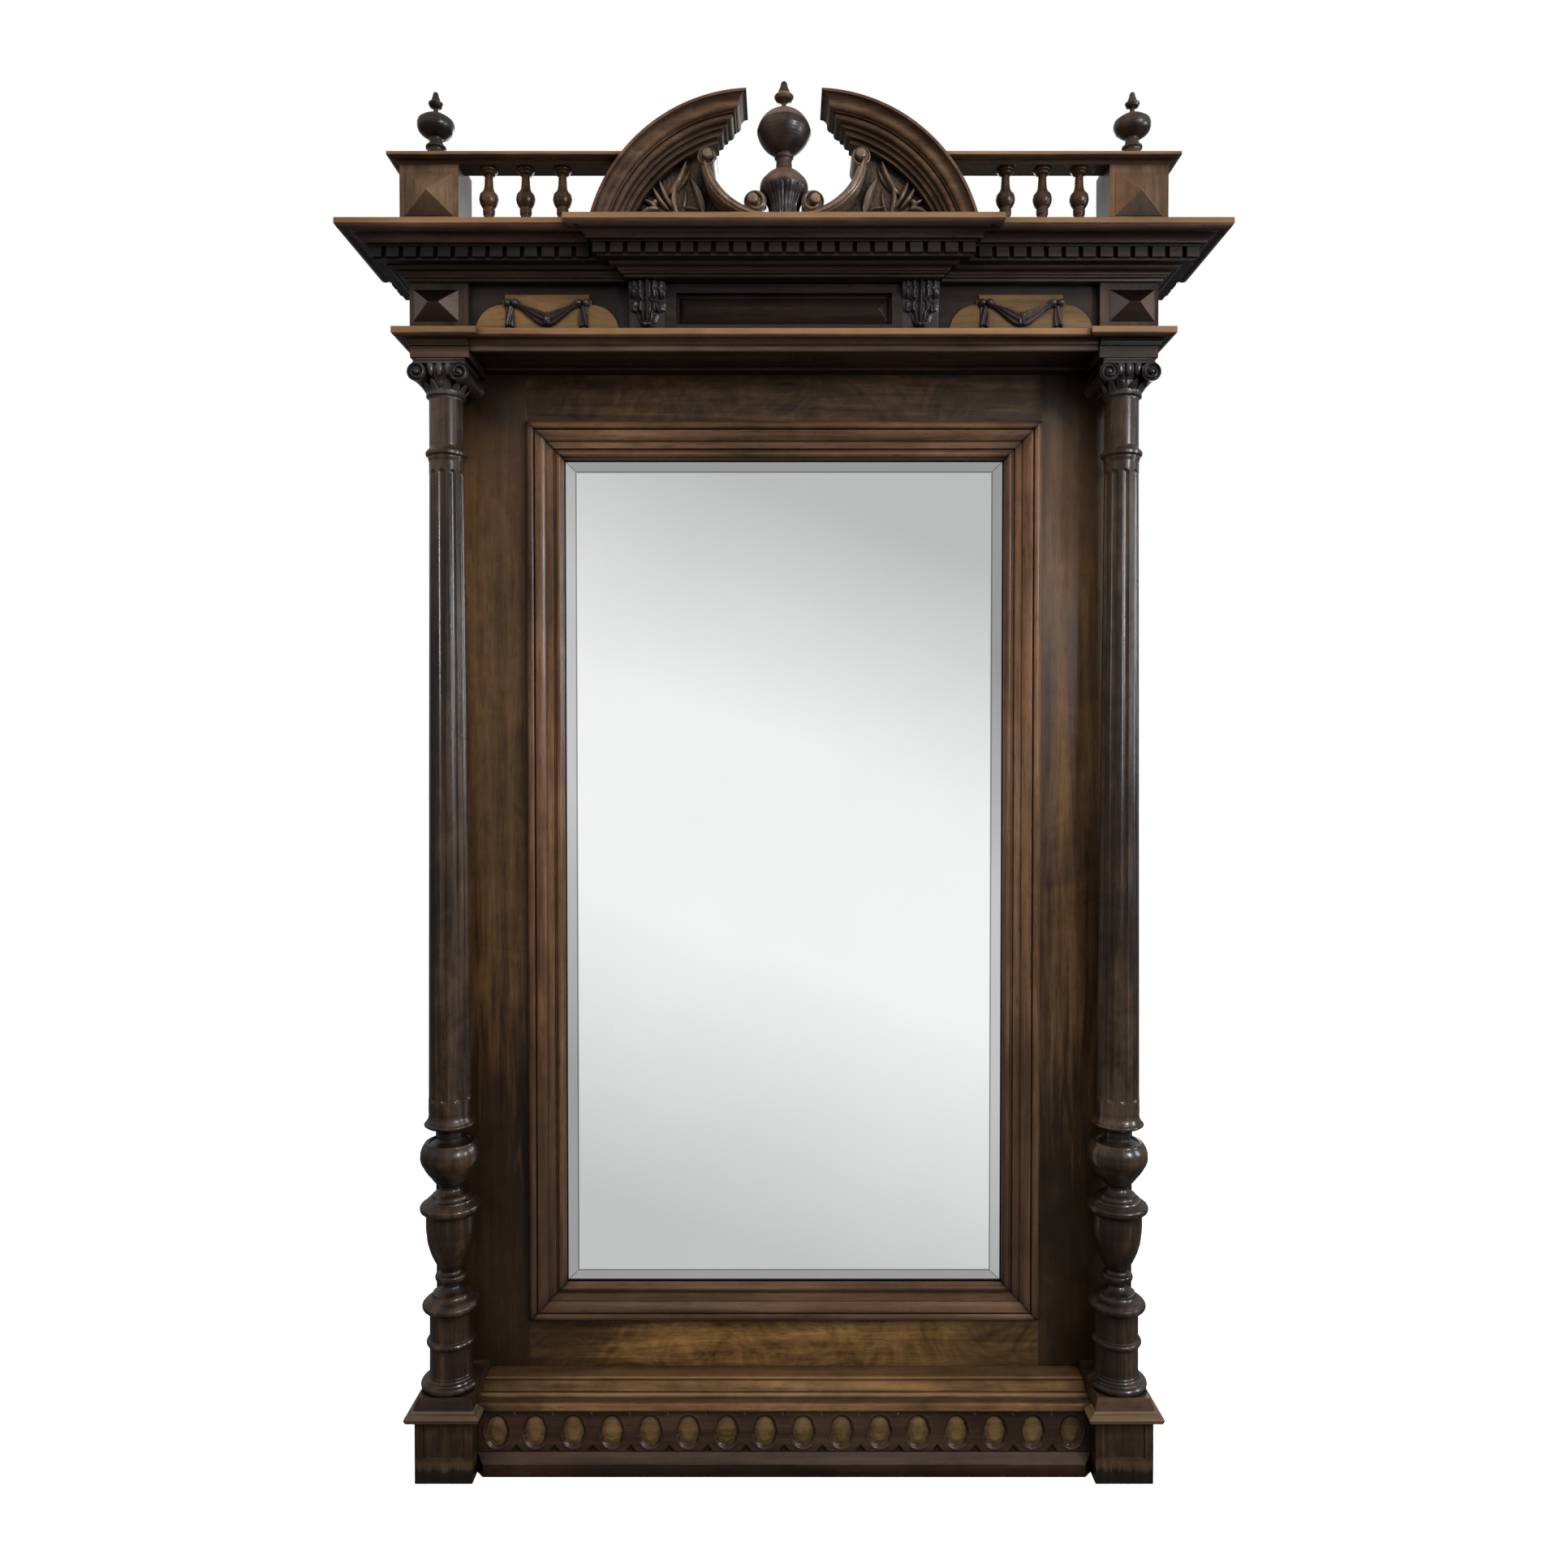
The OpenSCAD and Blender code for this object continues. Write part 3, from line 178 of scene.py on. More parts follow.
def scaled(colour, factor):
    """A colour made darker or lighter."""
    return tuple(min(1.0, channel * factor) for channel in colour)


# ---- Wood ----

GRAIN_STRETCH = {"X": (0.06, 1.0, 1.0), "Z": (1.0, 1.0, 0.06)}
RED_CAST = (1.12, 0.88, 0.78)
JOINT_BLACK = (0.002, 0.0015, 0.001)
JOINT_STAIN = (0.012, 0.007, 0.005)
# Reaches in metres: of a rounded edge, of the dirt in hollows and of the painted shade where other parts
# close the wood in.
EDGE_REACH, HOLLOW_REACH, SHADE_REACH = 0.0011, 0.016, 0.11
COAT_ROUGHNESS = 0.16
WAVE_HEIGHT = 0.0005


class Wood(Tree):
    """Old varnished wood in layers: grain with stains, strips of other tone and of painted light and shade,
    painted light and shade by facing, dark joints, wear, dirt, painted shade, varnish.
    """

    def tint(self, share, colour):
        self.colour = self.mix(share, self.colour, colour)

    def grain(self, way, offset, figure, dark, middle, light):
        """Streaks along the grain, blotches, a red cast in places, and pores."""
        place = self.object_place()
        self.spot = self.parts(place)
        self.board = self.vector("ADD", place, (offset, offset * 1.7, offset * 0.6))
        along = self.vector("MULTIPLY", self.board, GRAIN_STRETCH[way])
        broad = self.noise(along, 14.0, 3.0, 0.5, figure)
        self.fine = self.noise(along, 95.0, 4.0, 0.6, 0.4 * figure)
        self.blotch = self.noise(self.board, 3.6, 3.0, 0.55, 0.6 * figure)
        swirl = self.noise(self.board, 11.0, 4.0, 0.6, 1.6 * figure)
        tone = self.times(broad, 0.5)
        for noise, share in ((self.fine, 0.28), (self.blotch, 0.3), (swirl, 0.14 * figure)):
            tone = self.plus(tone, self.times(noise, share))
        middle_tone = 0.54 + 0.07 * figure
        self.streaks = self.spread(tone, middle_tone - 0.17, middle_tone + 0.19)
        self.colour = self.ramp(self.streaks, [(0.0, dark), (0.45, middle), (1.0, light)])
        red = self.spread(self.noise(self.board, 2.1, 2.0, 0.5), 0.4, 0.65, 0.0, 0.5)
        self.tint(red, self.mix(1.0, self.colour, RED_CAST, "MULTIPLY"))
        self.pores = self.spread(self.noise(along, 620.0, 2.0, 0.6), 0.56, 0.7, 0.0, 0.5)
        self.tint(self.pores, scaled(dark, 0.35))

    def band(self, axis, low, high, colour, strength, soft):
        """A strip of another colour, streaked like the grain: painted highlights and painted shade on several
        mouldings and on the stiles, the wood's own tones elsewhere.
        """
        where = self.plus(self.spot[axis], self.spread(self.fine, 0.3, 0.7, -soft, soft))
        within = self.times(self.spread(where, low - soft, low + soft),
                            self.spread(where, high - soft, high + soft, 1.0, 0.0))
        uneven = self.spread(self.blotch, 0.3, 0.7, strength * 0.6, strength)
        streaked = self.mix(self.streaks, scaled(colour, 0.6), scaled(colour, 1.35))
        self.tint(self.times(within, uneven), streaked)

    def facet(self, axis, way, colour, strength):
        """Painted light and shade: the faces that look one way made lighter or darker."""
        looks = self.parts(self.add("ShaderNodeTexCoord").outputs["Normal"])
        self.tint(self.spread(self.times(looks[axis], way), 0.05, 0.16, 0.0, strength), colour)

    def joint(self, corner_x, half_height, middle_z):
        """The dark mitre that runs in from each outer corner of a frame."""
        across = self.minus(corner_x, self.size(self.spot["X"]))
        up = self.size(self.minus(self.spot["Z"], middle_z))
        seam = self.size(self.minus(across, self.minus(half_height, up)))
        self.tint(self.spread(seam, 0.0012, 0.0038, 0.97, 0.0), JOINT_BLACK)
        self.tint(self.spread(seam, 0.002, 0.022, 0.45, 0.0), JOINT_STAIN)

    def open_air(self, reach):
        node = self.add("ShaderNodeAmbientOcclusion", samples=4)
        self.feed(node, Distance=reach)
        return node.outputs["AO"]

    def age(self, dark, light, wear, shade, dirt):
        """Pale worn edges, painted shade where other parts close the wood in, and dirt in the hollows."""
        bevel = self.add("ShaderNodeBevel", samples=4)
        self.feed(bevel, Radius=EDGE_REACH)
        self.rounded = bevel.outputs["Normal"]
        plain = self.add("ShaderNodeNewGeometry").outputs["Normal"]
        edge = self.spread(self.vector("DOT_PRODUCT", self.rounded, plain, "Value"), 0.97, 0.8)
        near = self.open_air(HOLLOW_REACH)
        patches = self.spread(self.noise(self.board, 45.0, 3.0), 0.4, 0.65)
        worn = self.times(self.times(edge, self.spread(near, 0.6, 0.9)), patches)
        self.tint(self.times(worn, wear), scaled(light, 1.6))
        # Painted shade: darker wherever other parts close in within the reach, as beside the columns and
        # under ledges.
        self.tint(self.spread(self.open_air(SHADE_REACH), 0.42, 0.92, shade, 0.0), scaled(dark, 0.45))
        self.grime = self.spread(near, 0.2, 0.85, dirt, 0.0)
        self.tint(self.grime, scaled(dark, 0.2))

    def varnish(self, gloss, coat, sheen, waves):
        """Smeared gloss that is duller in the dirt, over the slight waves of the grain."""
        rough = self.plus(self.spread(self.fine, 0.3, 0.7, gloss - 0.04, gloss + 0.08),
                          self.times(self.grime, 0.35))
        smears = self.spread(self.noise(self.board, 9.0, 4.0, 0.6), 0.35, 0.7, -0.05, 0.09)
        self.feed(self.shader, Base_Color=self.colour, Roughness=self.plus(rough, smears, clamp=True),
                  Coat_Weight=coat, Coat_Roughness=COAT_ROUGHNESS, Specular_IOR_Level=sheen)
        height = self.minus(self.times(self.fine, 0.35), self.times(self.pores, 0.8))
        self.bump(Strength=waves, Distance=WAVE_HEIGHT, Height=height, Normal=self.rounded)


def wood(name, grain, dark, middle, light, gloss=0.3, coat=0.08, dirt=0.7, wear=0.3, offset=0.0,
         figure=1.0, sheen=0.3, shade=0.55, bands=(), facets=(), waves=0.3, mitred=None):
    """A wood whose grain runs along an axis.

    Each band is (axis, low, high, colour, strength, softness): a strip between two places in
    metres. Each facet is (axis, way, colour, strength). Mitred is the outer corner of a frame
    about the middle line, half the frame's height and the height of its middle.
    """
    material = bpy.data.materials.new(name)
    layers = Wood(material)
    layers.grain(grain, offset, figure, dark, middle, light)
    for band in bands:
        layers.band(*band)
    for facet in facets:
        layers.facet(*facet)
    if mitred:
        layers.joint(*mitred)
    layers.age(dark, light, wear, shade, dirt)
    layers.varnish(gloss, coat, sheen, waves)
    return material


DARK = (0.010, 0.0052, 0.0032)
MIDDLE = (0.047, 0.0235, 0.0115)
LIGHT = (0.125, 0.065, 0.03)
HIGHLIGHT_GOLD = (0.215, 0.118, 0.05)
DEEP_BROWN = (0.010, 0.0058, 0.0036)
PAINTED_SHADOW_BLACK = (0.003, 0.002, 0.0015)
PINE = ((0.16, 0.09, 0.04), (0.30, 0.19, 0.09), (0.46, 0.31, 0.17))

# Two heights above the floor and a depth in front of the wall, in millimetres.
CORNICE_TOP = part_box("crown_left")[1][2] / MM
FRIEZE_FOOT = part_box("frieze_board")[0][2] / MM
FRIEZE_FRONT = depth_of(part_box("frieze_block_left")[0][1])

# Heights in metres that bands of colour go by; BALL is the middle of the centre finial's ball.
BALL = (CORNICE_TOP + 132) * MM
SIDE_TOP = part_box("side_finial_left")[1][2]
STILE_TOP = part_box("top_rail")[1][2]
CAP_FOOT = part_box("plinth_cap_left")[0][2]


def strip(near, far, colour, strength, softness):
    """A line along a moulding between two distances in front of the wall, in millimetres, for painted
    highlights and painted shade.
    """
    return ("Y", WALL_Y - far * MM, WALL_Y - near * MM, colour, strength, softness)


def fillet(name, height, strength=0.85):
    """A painted highlight: the strip at the top of a moulding made pale gold where the light catches it."""
    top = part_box(name)[1][2]
    return ("Z", top - height, top + 0.01, HIGHLIGHT_GOLD, strength, 0.0008)


def frame_corner():
    """Where the mitres of the glass moulding start: corner, half height, middle."""
    low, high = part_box("moulding_left")
    return (-low[0], (high[2] - low[2]) / 2, (high[2] + low[2]) / 2)


MITRED = frame_corner()

walnut_up = wood("walnut_up", "Z", DARK, MIDDLE, LIGHT, waves=0.12)
frieze_block_wood = wood(
    "frieze_block_wood", "Z", DARK, (0.04, 0.024, 0.0155), (0.085, 0.054, 0.036), offset=3.9)
arch_wood = wood(
    "arch_wood", "X", (0.012, 0.0065, 0.0045), (0.062, 0.036, 0.022), (0.15, 0.093, 0.055), offset=1.3,
    wear=0.6, sheen=0.15, coat=0.0, gloss=0.42, waves=0.15)
bed_wood = wood(
    "bed_wood", "X", DARK, (0.034, 0.0175, 0.0105), (0.085, 0.045, 0.026), offset=6.1, wear=0.5)
moulding_up = wood(
    "moulding_up", "Z", (0.02, 0.0095, 0.005), (0.078, 0.04, 0.0195), (0.2, 0.112, 0.058), offset=2.7,
    wear=0.7, dirt=0.98, shade=0.3, mitred=MITRED,
    bands=[("Z", 0.0, 0.55, (0.05, 0.029, 0.018), 0.6, 0.15)])
moulding_across = wood(
    "moulding_across", "X", (0.018, 0.0095, 0.005), (0.084, 0.045, 0.021), (0.2, 0.115, 0.062),
    offset=5.3, wear=0.7, dirt=0.98, shade=0.3, mitred=MITRED,
    bands=[("Z", 0.0, 0.55, (0.06, 0.036, 0.023), 0.5, 0.15)])
column_wood = wood(
    "column_wood", "Z", (0.005, 0.003, 0.0022), (0.0215, 0.0132, 0.008), (0.085, 0.052, 0.03),
    gloss=0.27, coat=0.28, offset=4.9, wear=0.9, shade=0.85, sheen=0.4, figure=1.7, waves=0.1)
finial_wood = wood(
    "finial_wood", "Z", (0.007, 0.0045, 0.0035), (0.027, 0.0175, 0.0135), (0.065, 0.042, 0.031),
    gloss=0.34, coat=0.1, offset=3.3, wear=0.3, sheen=0.4, waves=0.08,
    bands=[("Z", BALL + 0.016, BALL + 0.06, (0.125, 0.082, 0.055), 0.85, 0.0008),
           ("Z", BALL + 0.0135, BALL + 0.0155, DEEP_BROWN, 0.8, 0.0004),
           ("Z", BALL - 0.074, BALL - 0.052, (0.115, 0.07, 0.045), 0.75, 0.002)])
side_finial_wood = wood(
    "side_finial_wood", "Z", (0.006, 0.004, 0.003), (0.02, 0.0125, 0.009), (0.055, 0.035, 0.025),
    gloss=0.3, coat=0.2, offset=5.9, wear=0.4, sheen=0.45, waves=0.08,
    bands=[("Z", SIDE_TOP - 0.0425, SIDE_TOP - 0.028, (0.085, 0.052, 0.033), 0.8, 0.0008)])
# The gallery rail and the crown carry a painted highlight on their top fillets.
gallery_wood = wood(
    "gallery_wood", "X", DARK, (0.05, 0.029, 0.0165), (0.13, 0.078, 0.042), offset=6.8,
    bands=[fillet("gallery_rail_left", 0.004, 0.7)])
crown_wood = wood(
    "crown_wood", "X", DARK, (0.034, 0.0185, 0.014), (0.085, 0.048, 0.034), offset=8.8, wear=0.8,
    bands=[fillet("crown_left", 0.0085, 0.72)])
entablature_wood = wood(
    "entablature_wood", "X", (0.006, 0.0036, 0.003), (0.02, 0.0125, 0.0095), (0.05, 0.031, 0.022),
    offset=2.9, wear=0.9)
# The facets paint light and shade by the way faces look: top faces near black as painted shadow and dark
# reflection, undersides darker, side faces a pale grey painted sheen.
boss_wood = wood(
    "boss_wood", "X", (0.012, 0.006, 0.004), (0.05, 0.027, 0.018), (0.1, 0.055, 0.036), offset=7.2,
    sheen=0.4, coat=0.2, wear=1.0,
    facets=[("Z", 1.0, (0.0012, 0.001, 0.001), 0.98),
            ("Z", -1.0, (0.015, 0.008, 0.005), 0.85),
            ("X", -1.0, (0.055, 0.046, 0.045), 0.7),
            ("X", 1.0, (0.085, 0.055, 0.043), 0.6)])
# Bands: a painted highlight on the top fillet, darker towards the left end, painted highlights on two lips of
# the underside and black painted shadow behind each.
architrave_wood = wood(
    "architrave_wood", "X", (0.01, 0.005, 0.0036), (0.05, 0.025, 0.0145), (0.12, 0.063, 0.034),
    offset=5.6, wear=0.8, shade=0.75,
    bands=[fillet("architrave", 0.0085),
           ("X", -0.7, -0.4, (0.03, 0.016, 0.01), 0.35, 0.08),
           strip(FRIEZE_FRONT - 8.6, FRIEZE_FRONT - 2.6, (0.12, 0.078, 0.055), 0.75, 0.0007),
           strip(FRIEZE_FRONT - 12.5, FRIEZE_FRONT - 9.0, PAINTED_SHADOW_BLACK, 0.95, 0.001),
           strip(38.0, 42.0, (0.085, 0.066, 0.056), 0.8, 0.0007),
           strip(20.0, 37.0, PAINTED_SHADOW_BLACK, 0.95, 0.001)])
# Painted shade: the stiles are darker on their lower part, with a painted shadow at their tops under the
# entablature.
stile_wood = wood(
    "stile_wood", "Z", (0.024, 0.012, 0.0058), (0.098, 0.052, 0.021), (0.21, 0.118, 0.047), offset=2.1,
    figure=1.5, shade=0.97, coat=0.25, gloss=0.36,
    bands=[("Z", 0.0, 0.66, (0.007, 0.0038, 0.0024), 0.95, 0.17),
           ("Z", STILE_TOP - 0.19, 2.0, DEEP_BROWN, 0.6, 0.08)])
rail_wood = wood(
    "rail_wood", "X", (0.014, 0.0075, 0.0042), (0.07, 0.037, 0.016), (0.185, 0.1, 0.04), offset=4.4,
    figure=2.6, shade=0.85)
golden_across = wood(
    "golden_across", "X", (0.016, 0.008, 0.004), (0.135, 0.071, 0.0235), (0.29, 0.165, 0.056),
    offset=3.7, figure=3.0,
    bands=[("X", -0.6, -0.235, (0.017, 0.009, 0.005), 0.85, 0.07),
           ("X", 0.27, 0.6, (0.03, 0.016, 0.008), 0.7, 0.07)])
# The strips paint the light and shade of the ledge's members: pale gold painted highlights, near-black
# painted shade and browns between; the ledge is also darker towards both ends.
ledge_wood = wood(
    "ledge_wood", "X", (0.022, 0.012, 0.007), (0.115, 0.062, 0.024), (0.24, 0.138, 0.054), offset=2.2,
    figure=1.6, wear=0.7, dirt=0.9, shade=0.4,
    bands=[strip(104.0, 124.5, (0.032, 0.02, 0.0115), 0.85, 0.0016),
           strip(97.6, 103.6, (0.29, 0.175, 0.085), 0.9, 0.0005),
           strip(92.5, 97.2, (0.014, 0.009, 0.006), 0.9, 0.0008),
           strip(68.5, 73.5, (0.27, 0.155, 0.07), 0.85, 0.0006),
           strip(73.8, 78.5, (0.016, 0.009, 0.006), 0.85, 0.001),
           strip(30.0, 67.5, (0.065, 0.035, 0.017), 0.6, 0.003),
           ("X", -0.5, -0.37, DEEP_BROWN, 0.4, 0.05),
           ("X", 0.39, 0.5, DEEP_BROWN, 0.4, 0.05)])
# The facets paint shade on faces that look down and light on faces that look up.
golden_up = wood(
    "golden_up", "Z", (0.02, 0.011, 0.006), (0.085, 0.05, 0.026), (0.17, 0.107, 0.056), offset=0.7,
    figure=1.4, wear=0.9,
    facets=[("Z", -1.0, (0.036, 0.021, 0.014), 0.7),
            ("Z", 1.0, (0.075, 0.045, 0.027), 0.5)])
plaque_wood = wood(
    "plaque_wood", "X", (0.055, 0.032, 0.013), (0.135, 0.082, 0.031), (0.2, 0.127, 0.052), offset=5.1,
    figure=1.2)
carved_wood = wood(
    "carved_wood", "Z", (0.0045, 0.0036, 0.0033), (0.021, 0.016, 0.0145), (0.06, 0.049, 0.046),
    gloss=0.3, coat=0.3, wear=1.0, dirt=0.93, offset=6.3, sheen=0.5, waves=0.12)
swag_wood = wood(
    "swag_wood", "Z", (0.009, 0.006, 0.0052), (0.036, 0.025, 0.021), (0.13, 0.09, 0.07), gloss=0.3,
    coat=0.3, wear=1.0, dirt=0.9, offset=8.1, sheen=0.5, waves=0.12)
carved_light = wood(
    "carved_light", "Z", (0.03, 0.019, 0.012), (0.1, 0.066, 0.041), (0.24, 0.17, 0.11), gloss=0.24,
    coat=0.5, wear=1.0, dirt=0.95, offset=1.9, shade=0.3, sheen=0.6, waves=0.1)
carved_ground = wood(
    "carved_ground", "Z", (0.018, 0.0115, 0.0075), (0.05, 0.034, 0.022), (0.1, 0.07, 0.046), gloss=0.34,
    dirt=0.92, offset=4.7, shade=0.3)
roundel_wood = wood(
    "roundel_wood", "X", (0.01, 0.005, 0.0034), (0.036, 0.019, 0.0105), (0.085, 0.046, 0.024), wear=0.8,
    dirt=0.95, offset=3.1, sheen=0.4)
roundel_field = wood(
    "roundel_field", "X", (0.032, 0.019, 0.008), (0.115, 0.07, 0.026), (0.21, 0.13, 0.05), dirt=0.92,
    offset=9.9, figure=1.8)
skirting_wood = wood(
    "skirting_wood", "X", (0.008, 0.0035, 0.0026), (0.03, 0.0135, 0.0085), (0.075, 0.036, 0.023),
    offset=0.9, figure=1.3, wear=0.6,
    bands=[("Z", 0.0195, 0.04, (0.058, 0.036, 0.0245), 0.75, 0.001)])
plinth_wood = wood(
    "plinth_wood", "Z", (0.008, 0.005, 0.0034), (0.027, 0.0172, 0.0098), (0.085, 0.052, 0.026),
    gloss=0.34, offset=7.7, figure=2.0, wear=1.0, dirt=0.45,
    bands=[("Z", -0.01, 0.021, (0.008, 0.0072, 0.0062), 0.97, 0.003),
           ("Z", 0.022, 0.036, (0.11, 0.063, 0.027), 0.6, 0.004)])
# The bands paint a golden highlight on the rounded nose of the cap and a paler highlight along its top edge.
cap_wood = wood(
    "cap_wood", "X", (0.006, 0.0036, 0.0026), (0.026, 0.015, 0.009), (0.08, 0.047, 0.027), offset=1.1,
    wear=0.9,
    bands=[("Z", CAP_FOOT - 0.01, CAP_FOOT + 0.0135, (0.15, 0.092, 0.05), 0.8, 0.001),
           ("Z", CAP_FOOT + 0.0142, CAP_FOOT + 0.0162, (0.17, 0.12, 0.08), 0.8, 0.0004)])
pine_up = wood("pine_up", "Z", *PINE, gloss=0.62, coat=0.0, dirt=0.6, wear=0.1, offset=8.2)
pine_across = wood("pine_across", "X", *PINE, gloss=0.62, coat=0.0, dirt=0.6, wear=0.1, offset=9.4)


# ---- Glass and iron ----

# The part of the plate that the moulding hides, and the width of the bevel, in metres.
GLASS_HIDDEN, GLASS_BEVEL = 0.006, 0.021


def mirror_material():
    """Silvered glass, a little dimmer on the bevel, with fine dark lines where its planes meet."""
    material = bpy.data.materials.new("silvered_glass")
    t = Tree(material)
    place = t.object_place()
    spot = t.parts(place)
    low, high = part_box("mirror_glass")
    middle = (low[2] + high[2]) / 2
    across = t.minus(high[0] - GLASS_HIDDEN, t.size(spot["X"]))
    along = t.minus(high[2] - middle - GLASS_HIDDEN, t.size(t.minus(spot["Z"], middle)))
    inset = t.math("MINIMUM", across, along)
    bevel = t.spread(inset, GLASS_BEVEL - 0.0006, GLASS_BEVEL + 0.0006, 1.0, 0.0)
    line = t.spread(t.size(t.minus(inset, GLASS_BEVEL)), 0.0006, 0.0016, 0.75, 0.0)
    mitre = t.spread(t.size(t.minus(across, along)), 0.0005, 0.0015, 0.7, 0.0)
    line = t.math("MAXIMUM", line, t.times(mitre, bevel))
    haze = t.noise(place, 3.0, 3.0)
    colour = t.ramp(haze, [(0.3, (0.87, 0.88, 0.885)), (0.7, (0.91, 0.915, 0.92))])
    colour = t.mix(bevel, colour, t.mix(haze, (0.50, 0.505, 0.51), (0.60, 0.605, 0.61)))
    colour = t.mix(line, colour, (0.12, 0.12, 0.125))
    t.feed(t.shader, Base_Color=colour, Metallic=1.0, Roughness=0.0)
    return material


def iron_material():
    """Dark iron with worn spots and a little rust."""
    material = bpy.data.materials.new("old_iron")
    t = Tree(material)
    spots = t.noise(t.object_place(), 160.0, 5.0, 0.6)
    colour = t.ramp(spots, [(0.35, (0.05, 0.045, 0.042)), (0.6, (0.12, 0.10, 0.09)),
                            (0.72, (0.19, 0.085, 0.04))])
    t.feed(t.shader, Base_Color=colour, Metallic=0.85, Roughness=t.spread(spots, 0.3, 0.7, 0.35, 0.7))
    t.bump(Strength=0.3, Distance=0.0004, Height=spots)
    return material


mirror = mirror_material()
iron = iron_material()


# ---- What each node is made of ----


def pair(*stems):
    """The left and the right node of each stem."""
    return [stem + side for stem in stems for side in ("_left", "_right")]


FINISHES = {
    stile_wood: pair("stile"),
    walnut_up: ["balusters"],
    frieze_block_wood: pair("frieze_block"),
    moulding_up: pair("moulding"),
    moulding_across: ["moulding_top", "moulding_bottom"],
    column_wood: pair("column_base", "column_shaft"),
    finial_wood: ["centre_finial"],
    side_finial_wood: pair("side_finial"),
    arch_wood: pair("arch", "spandrel"),
    bed_wood: ["bed_board", "roundel_board"],
    cap_wood: pair("plinth_cap"),
    gallery_wood: pair("gallery_rail"),
    crown_wood: pair("crown") + ["crown_centre"],
    rail_wood: ["top_rail", "head_rail"],
    skirting_wood: ["skirting"],
    architrave_wood: pair("architrave_block") + ["architrave"],
    entablature_wood: ["frieze_board", "centre_panel_frame", "centre_field", "dentil_course"],
    boss_wood: ["frieze_bosses"],
    golden_across: ["bottom_rail"],
    ledge_wood: ["base_ledge"],
    golden_up: pair("pedestal") + ["pedestal_bosses"],
    plaque_wood: ["frieze_plaques"],
    carved_wood: pair("capital", "swag", "bracket"),
    plinth_wood: pair("plinth"),
    pine_up: ["backing_boards"],
    pine_across: ["glazing_fillets", "top_board"],
    mirror: ["mirror_glass"],
    iron: ["wall_plates", "screws"],
}
for material, names in FINISHES.items():
    for name in names:
        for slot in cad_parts[name].material_slots:
            slot.material = material


# ---- Carving tools ----


def smooth(value, low, high):
    """0 below low, 1 above high, with an easy slope between."""
    t = np.clip((value - low) / (high - low), 0.0, 1.0)
    return t * t * (3.0 - 2.0 * t)


def bump_at(value, place, width):
    """A round bump, 1 high at its place."""
    return np.exp(-((value - place) / width) ** 2)


def circle(count):
    """Angles of points spaced evenly round a circle."""
    return np.linspace(0.0, 2 * math.pi, count + 1)[:-1]


def level_ring(x, depth, z, radius, turn):
    """Points round an upright axis, all at one height."""
    return np.stack([x + radius * np.cos(turn), depth + radius * np.sin(turn), z + 0 * turn], axis=1)


def radius_on(profile, height):
    """Radius at a height, on a profile of (radius, height) points."""
    radii, heights = np.array(profile).T
    return np.interp(height, heights, radii)


